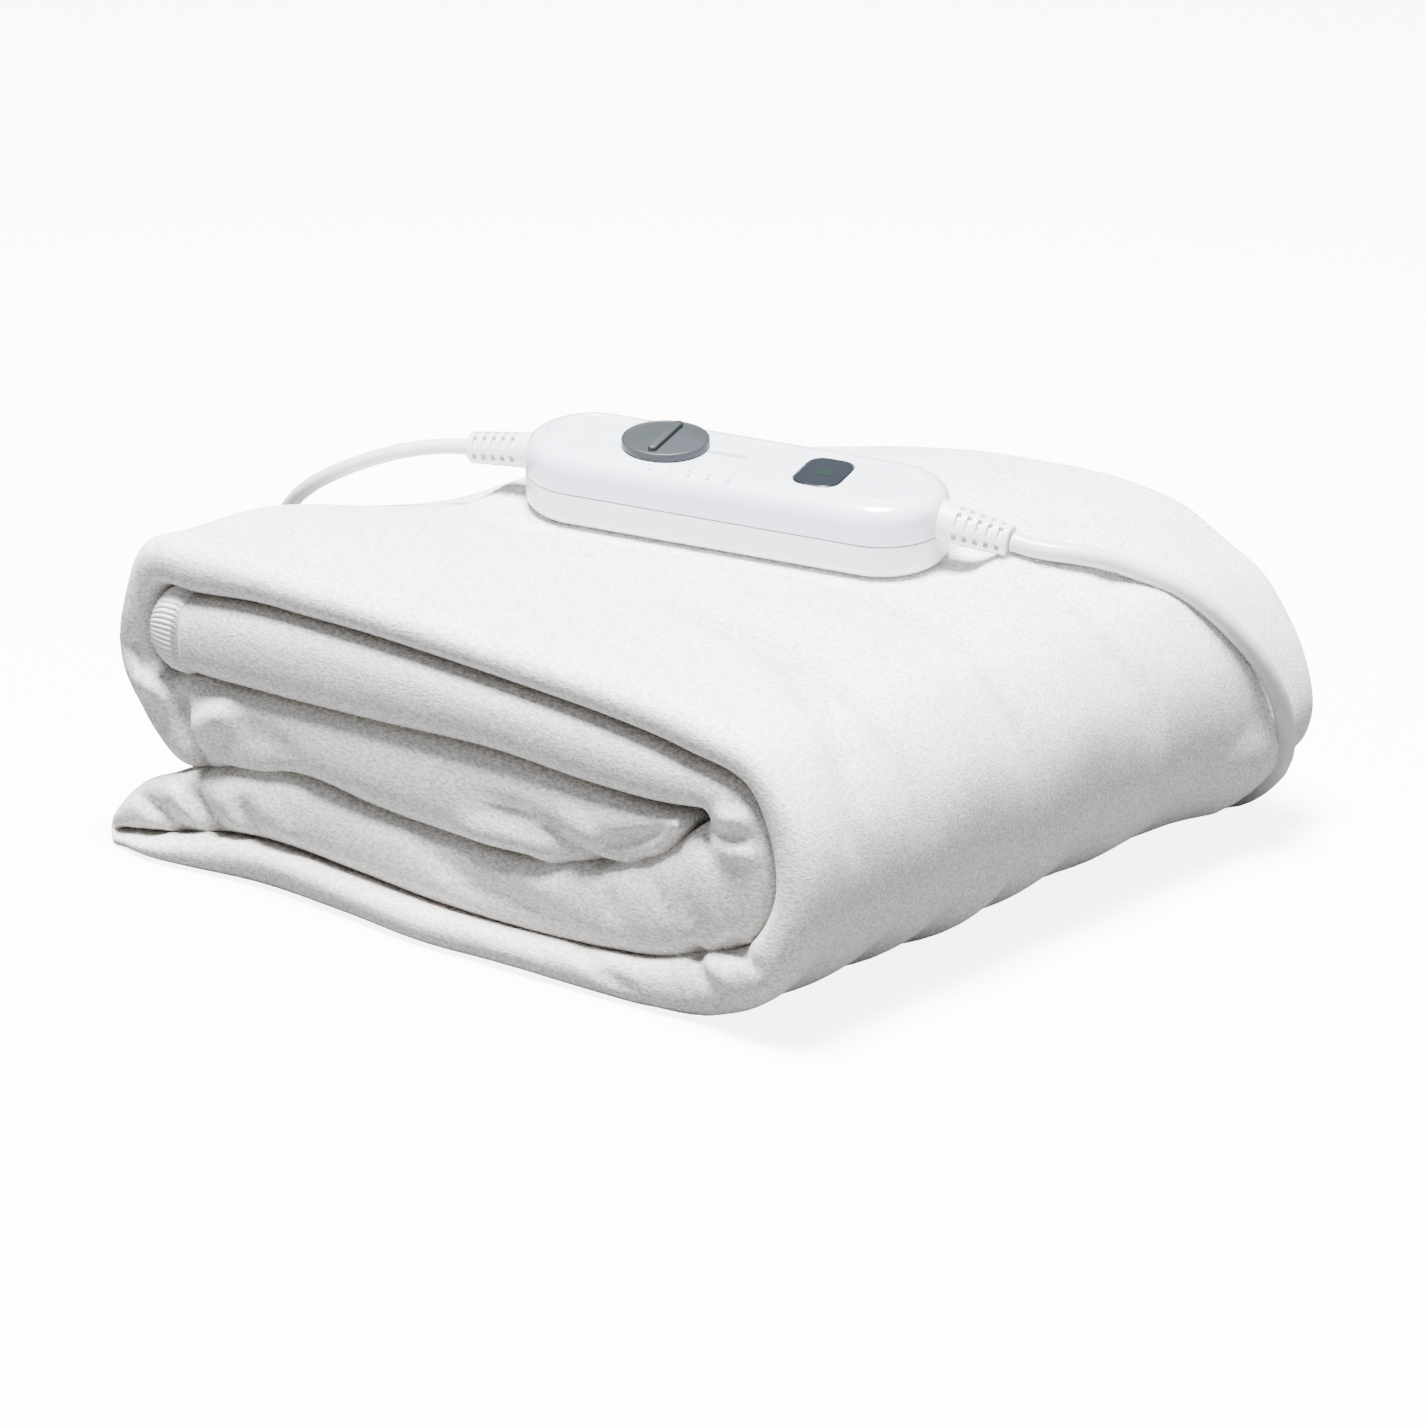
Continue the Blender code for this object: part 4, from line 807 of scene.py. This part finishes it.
# a fine zigzag holds its inner edge
stitchRings = [hemRings[row] + hemNormals[row] * high for row, high in hem["between"]]
halfPitch = round(hem["pitch"] / 2 / (hemAt[1] - hemAt[0]))
stitchPoints = [stitchRings[step % 2][place] for step, place in enumerate(range(0, len(hemAt), halfPitch))]
stitchData = bpy.data.curves.new("hem_stitch", "CURVE")
stitchData.dimensions = "3D"
stitchData.bevel_depth = hem["stitch"] * mm
stitchData.bevel_resolution = 1
stitchLine = stitchData.splines.new("POLY")
stitchLine.use_cyclic_u = True
stitchLine.points.add(len(stitchPoints) - 1)
for point, place in zip(stitchLine.points, stitchPoints):
    point.co = (*(Vector(place) * mm), 1.0)
stitchPiece = bpy.data.objects.new("hem_stitch", stitchData)
bpy.context.scene.collection.objects.link(stitchPiece)
stitchData.materials.append(plastic("white sewing thread", (0.72, 0.72, 0.73), (0.84, 0.84, 0.85), 0.6,
                                    mottle=900.0))
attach(stitchPiece, "blanket")
print("hem", len(hemPiece.data.polygons), "faces")


# the controller, modelled in its own frame in mm and then laid on the pile

def setMode(mode):
    bpy.ops.object.mode_set(mode=mode)


def selectOnly(made, *others):
    # the first piece is the active one
    bpy.ops.object.select_all(action="DESELECT")
    for piece in (made, *others):
        piece.select_set(True)
    bpy.context.view_layer.objects.active = made


def addDrum(radius, long, middle, steps, turn=0.0):
    # a cylinder to start from, along Z, its middle given
    bpy.ops.mesh.primitive_cylinder_add(vertices=steps, radius=radius * mm, depth=long * mm,
                                        location=Vector(middle) * mm, rotation=(0.0, 0.0, turn))


def pick(made, kind, test):
    # leaves the piece in edit mode with only the wanted corners, edges or faces picked
    selectOnly(made)
    setMode("EDIT")
    bpy.ops.mesh.select_mode(type=kind)
    bpy.ops.mesh.select_all(action="DESELECT")
    setMode("OBJECT")
    data = made.data
    if kind == "VERT":
        for vert in data.vertices:
            vert.select = test(vert.co / mm)
    elif kind == "EDGE":
        for edge in data.edges:
            edge.select = test(*(data.vertices[corner].co / mm for corner in edge.vertices))
    else:
        for face in data.polygons:
            face.select = test(face.center / mm, face.normal)
    setMode("EDIT")


def newPiece(name):
    made = bpy.context.object
    made.name = name
    bpy.ops.object.transform_apply(location=True, rotation=True, scale=True)
    return made


def stadium(name, length, width, low, high, steps=96):
    addDrum(width / 2, high - low, (0.0, 0.0, (low + high) / 2), steps, math.pi / steps)
    made = newPiece(name)
    for side in (1.0, -1.0):
        pick(made, "VERT", lambda co: co.x * side > 0.0)
        bpy.ops.transform.translate(value=(side * (length - width) / 2 * mm, 0.0, 0.0))
        setMode("OBJECT")
    return made


def bevelRim(made, level, radius, steps):
    pick(made, "EDGE", lambda start, end: abs(start.z - level) < 0.01 and abs(end.z - level) < 0.01)
    bpy.ops.mesh.bevel(offset=radius * mm, segments=steps, profile=0.5, affect="EDGES")
    setMode("OBJECT")


def insetTop(made, level, thickness, depth):
    pick(made, "FACE", lambda centre, normal: abs(centre.z - level) < 0.01 and normal.z > 0.99)
    bpy.ops.mesh.inset(thickness=thickness * mm, depth=depth * mm)
    setMode("OBJECT")


def cutOut(made, cutter):
    cut = made.modifiers.new("cut", "BOOLEAN")
    cut.operation = "DIFFERENCE"
    cut.object = cutter
    cut.solver = "EXACT"
    bpy.context.view_layer.objects.active = made
    bpy.ops.object.modifier_apply(modifier=cut.name)
    bpy.data.objects.remove(cutter)


def layOnPile(made, finish, nodes=(), body="blanket", turn=None, angle=35.0):
    # smooths the piece, then puts it in its place on the pile
    selectOnly(made)
    bpy.ops.object.shade_smooth_by_angle(angle=math.radians(angle))
    made.data.materials.clear()
    made.data.materials.append(finish)
    made.data.transform(boxPlace @ (turn or Matrix.Identity(4)))
    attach(made, body)
    if nodes:
        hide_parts(*nodes)


def roundedBlock(name, size, low, high, place, steps=8):
    length, width, corner = size
    bpy.ops.mesh.primitive_cube_add(size=1.0, location=(place[0] * mm, place[1] * mm, (low + high) / 2 * mm))
    made = bpy.context.object
    made.scale = (length * mm, width * mm, (high - low) * mm)
    made = newPiece(name)
    pick(made, "EDGE", lambda start, end: abs(start.z - end.z) > 0.1)
    bpy.ops.mesh.bevel(offset=corner * mm, segments=steps, profile=0.5, affect="EDGES")
    setMode("OBJECT")
    return made


seamRim = {"radius": 0.25, "steps": 2}
baseParts = {"rounding": 4.0, "steps": 6}
base = stadium("controller_base", box["length"], box["width"], 0.0, box["baseHigh"])
bevelRim(base, 0.0, baseParts["rounding"], baseParts["steps"])
bevelRim(base, box["baseHigh"], **seamRim)
layOnPile(base, baseFinish, ("housing_base",))

lidTop = box["baseHigh"] + box["lidHigh"]
lidParts = {"rounding": 6.4, "steps": 12, "line": (0.35, 0.35, 0.4), "ridge": 0.22, "plate": 0.34,
            "dialAt": -23.5, "bore": 4.3, "boreLong": 12.0,
            "windowAt": (29.0, 0.0), "pocket": (15.6, 21.6, 5.3), "pocketDeep": 1.4, "pocketOver": 2.0}
lid = stadium("controller_lid", box["length"], box["width"], box["baseHigh"] + box["seam"], lidTop)
bevelRim(lid, lidTop, lidParts["rounding"], lidParts["steps"])
bevelRim(lid, box["baseHigh"] + box["seam"], **seamRim)
# a fine raised line runs round the flat plate of the lid
rise, flat, fall = lidParts["line"]
insetTop(lid, lidTop, rise, lidParts["ridge"])
insetTop(lid, lidTop + lidParts["ridge"], flat, 0.0)
insetTop(lid, lidTop + lidParts["ridge"], fall, -lidParts["plate"])
plateTop = lidTop + lidParts["ridge"] - lidParts["plate"]
addDrum(lidParts["bore"], lidParts["boreLong"], (lidParts["dialAt"], 0.0, lidTop), 48)
cutOut(lid, newPiece("bore"))
cutOut(lid, roundedBlock("pocket", lidParts["pocket"], lidTop - lidParts["pocketDeep"],
                         lidTop + lidParts["pocketOver"], lidParts["windowAt"]))
layOnPile(lid, lidFinish, ("housing_lid",))
print("controller's shell")

lensParts = {"size": (15.0, 21.0, 5.2), "under": 1.2, "proud": 0.15, "rim": 0.5,
             "lamp": (5.6, 5.6, 1.1), "lampAt": (29.6, 0.2), "lampProud": 0.24}
lensTop = lidTop + lensParts["proud"]
lens = roundedBlock("window_lens", lensParts["size"], lidTop - lensParts["under"], lensTop,
                    lidParts["windowAt"])
bevelRim(lens, lensTop, lensParts["rim"], 3)
layOnPile(lens, lensFinish, ("window",))
lampMark = roundedBlock("lamp_mark", lensParts["lamp"], lidTop, lidTop + lensParts["lampProud"],
                        lensParts["lampAt"], 4)
layOnPile(lampMark, lampFinish)

dialSizes = {"radius": 13.6, "under": 0.3, "high": 2.4, "rim": 0.5, "ring": 0.5, "sunk": 0.3,
             "grip": (22.6, 2.8), "gripHigh": 1.3, "gripSunk": 0.8, "gripRim": 0.6,
             "spindle": 4.0, "spindleLong": 9.3, "spindleTop": 0.6}
dialTop = dialSizes["under"] + dialSizes["high"]
gripTop = dialTop + dialSizes["gripHigh"]
addDrum(dialSizes["radius"], dialSizes["high"], (0.0, 0.0, dialSizes["under"] + dialSizes["high"] / 2), 96)
dial = newPiece("rotary_dial")
bevelRim(dial, dialTop, dialSizes["rim"], 3)
insetTop(dial, dialTop, dialSizes["ring"], 0.0)
insetTop(dial, dialTop, dialSizes["ring"], -dialSizes["sunk"])
grip = stadium("grip", *dialSizes["grip"], dialTop - dialSizes["gripSunk"], gripTop, 32)
bevelRim(grip, gripTop, dialSizes["gripRim"], 4)
grip.data.transform(Matrix.Rotation(math.pi / 2, 4, "Z"))
addDrum(dialSizes["spindle"], dialSizes["spindleLong"],
        (0.0, 0.0, dialSizes["spindleTop"] - dialSizes["spindleLong"] / 2), 32)
selectOnly(dial, grip, newPiece("spindle"))
bpy.ops.object.join()
layOnPile(dial, dialFinish, ("dial",), "dial",
          Matrix.Translation((lidParts["dialAt"] * mm, 0.0, lidTop * mm)))

markParts = {"size": (14.0, 2.0), "under": 0.2, "proud": 0.22, "rim": 0.15, "at": (-3.4, 0.8)}
mark = stadium("index_line", *markParts["size"], plateTop - markParts["under"],
               plateTop + markParts["proud"], 16)
bevelRim(mark, plateTop + markParts["proud"], markParts["rim"], 2)
layOnPile(mark, markFinish, turn=Matrix.Translation(Vector((*markParts["at"], 0.0)) * mm))
print("dial, window and mark")

numberRow = {"count": 5, "first": -21.5, "pitch": 6.5, "aside": -16.6, "under": 0.45, "tilt": 19.0,
             "size": 3.6, "extrude": 0.4}


def raisedNumbers():
    # plain numbers on the near shoulder, raised in the colour of the lid
    made = []
    for number in range(numberRow["count"]):
        along = numberRow["first"] + numberRow["pitch"] * number
        place = Vector((along, numberRow["aside"], lidTop - numberRow["under"]))
        bpy.ops.object.text_add(location=place * mm, rotation=(math.radians(numberRow["tilt"]), 0.0, 0.0))
        text = bpy.context.object
        text.data.body = str(number)
        text.data.size = numberRow["size"] * mm
        text.data.extrude = numberRow["extrude"] * mm
        text.data.align_x = "CENTER"
        text.data.align_y = "CENTER"
        bpy.ops.object.convert(target="MESH")
        made.append(newPiece("number"))
    selectOnly(*made)
    bpy.ops.object.join()
    made[0].name = "numbers"
    return made[0]


layOnPile(raisedNumbers(), numberFinish)
print("numbers")


# ribbed guards: a smooth collar, then five rings of slots, long ones at the top and small ones at the side

guards = {
    "guard_mains": {"side": -1.0, "length": 20.5, "inner": 5.7, "outer": 5.0, "pitch": 3.3, "slot": 1.5},
    "guard_blanket": {"side": 1.0, "length": 21.2, "inner": 6.3, "outer": 4.9, "pitch": 3.4, "slot": 1.6},
}
guardPlace = {"high": 14.0, "droop": 7.0, "sunk": 3.0, "rings": 5, "tip": 2.0, "sides": 32,
              "slotEdge": 0.1, "slotDeep": 1.4, "rim": 0.5}
# where the slots lie round the guard, counted by its sides from its top
slotGroups = ((-1, 0), (2, 3, 4, 5), (8, 9), (12, 13, 14), (17, 18, 19), (22, 23), (26, 27, 28, 29))


def cordGuard(name, sizes):
    sunk = guardPlace["sunk"]
    whole = sizes["length"] + sunk
    widest = sizes["inner"] + (sizes["inner"] - sizes["outer"]) * sunk / sizes["length"]
    bpy.ops.mesh.primitive_cone_add(vertices=guardPlace["sides"], radius1=widest * mm,
                                    radius2=sizes["outer"] * mm, depth=whole * mm,
                                    location=(0.0, 0.0, (whole / 2 - sunk) * mm))
    made = newPiece("ribbed_" + name)
    bands = []
    for ring in range(guardPlace["rings"]):
        near = sizes["length"] - guardPlace["tip"] - ring * sizes["pitch"]
        bands.append((near - sizes["slot"], near))
    for level in [level for band in bands for level in band]:
        pick(made, "FACE", lambda centre, normal: True)
        bpy.ops.mesh.bisect(plane_co=(0.0, 0.0, level * mm), plane_no=(0.0, 0.0, 1.0))
        setMode("OBJECT")

    def inSlot(centre, normal):
        if abs(normal.z) > 0.5 or not any(low < centre.z < high for low, high in bands):
            return False
        step = math.floor(math.degrees(math.atan2(centre.y, centre.x)) * guardPlace["sides"] / 360.0)
        return any((step - spot) % guardPlace["sides"] == 0 for group in slotGroups for spot in group)

    pick(made, "FACE", inSlot)
    bpy.ops.mesh.inset(thickness=guardPlace["slotEdge"] * mm, depth=-guardPlace["slotDeep"] * mm)
    setMode("OBJECT")
    bevelRim(made, sizes["length"], guardPlace["rim"], 3)
    # the guard's top is at +X of its own frame, which turns to the controller's up
    side = sizes["side"]
    turn = (Matrix.Translation((side * box["length"] / 2 * mm, 0.0, guardPlace["high"] * mm))
            @ Matrix.Rotation(math.radians(90.0 + guardPlace["droop"]) * side, 4, "Y")
            @ Matrix.Rotation(math.pi if side > 0 else 0.0, 4, "Z"))
    layOnPile(made, guardFinish, (name,), turn=turn, angle=25.0)


for guardName, sizes in guards.items():
    cordGuard(guardName, sizes)
print("guards")

# these pieces keep their CAD shape
carried = {"cord_entry": guardFinish, "coil_tie": guardFinish, "plug_body": cordFinish,
           "plug_relief": cordFinish, "plug_pin_left": pinFinish, "plug_pin_right": pinFinish}
for nodeName, finish in carried.items():
    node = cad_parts[nodeName]
    node.data.materials.clear()
    node.data.materials.append(finish)
print("plug, entry and tie")
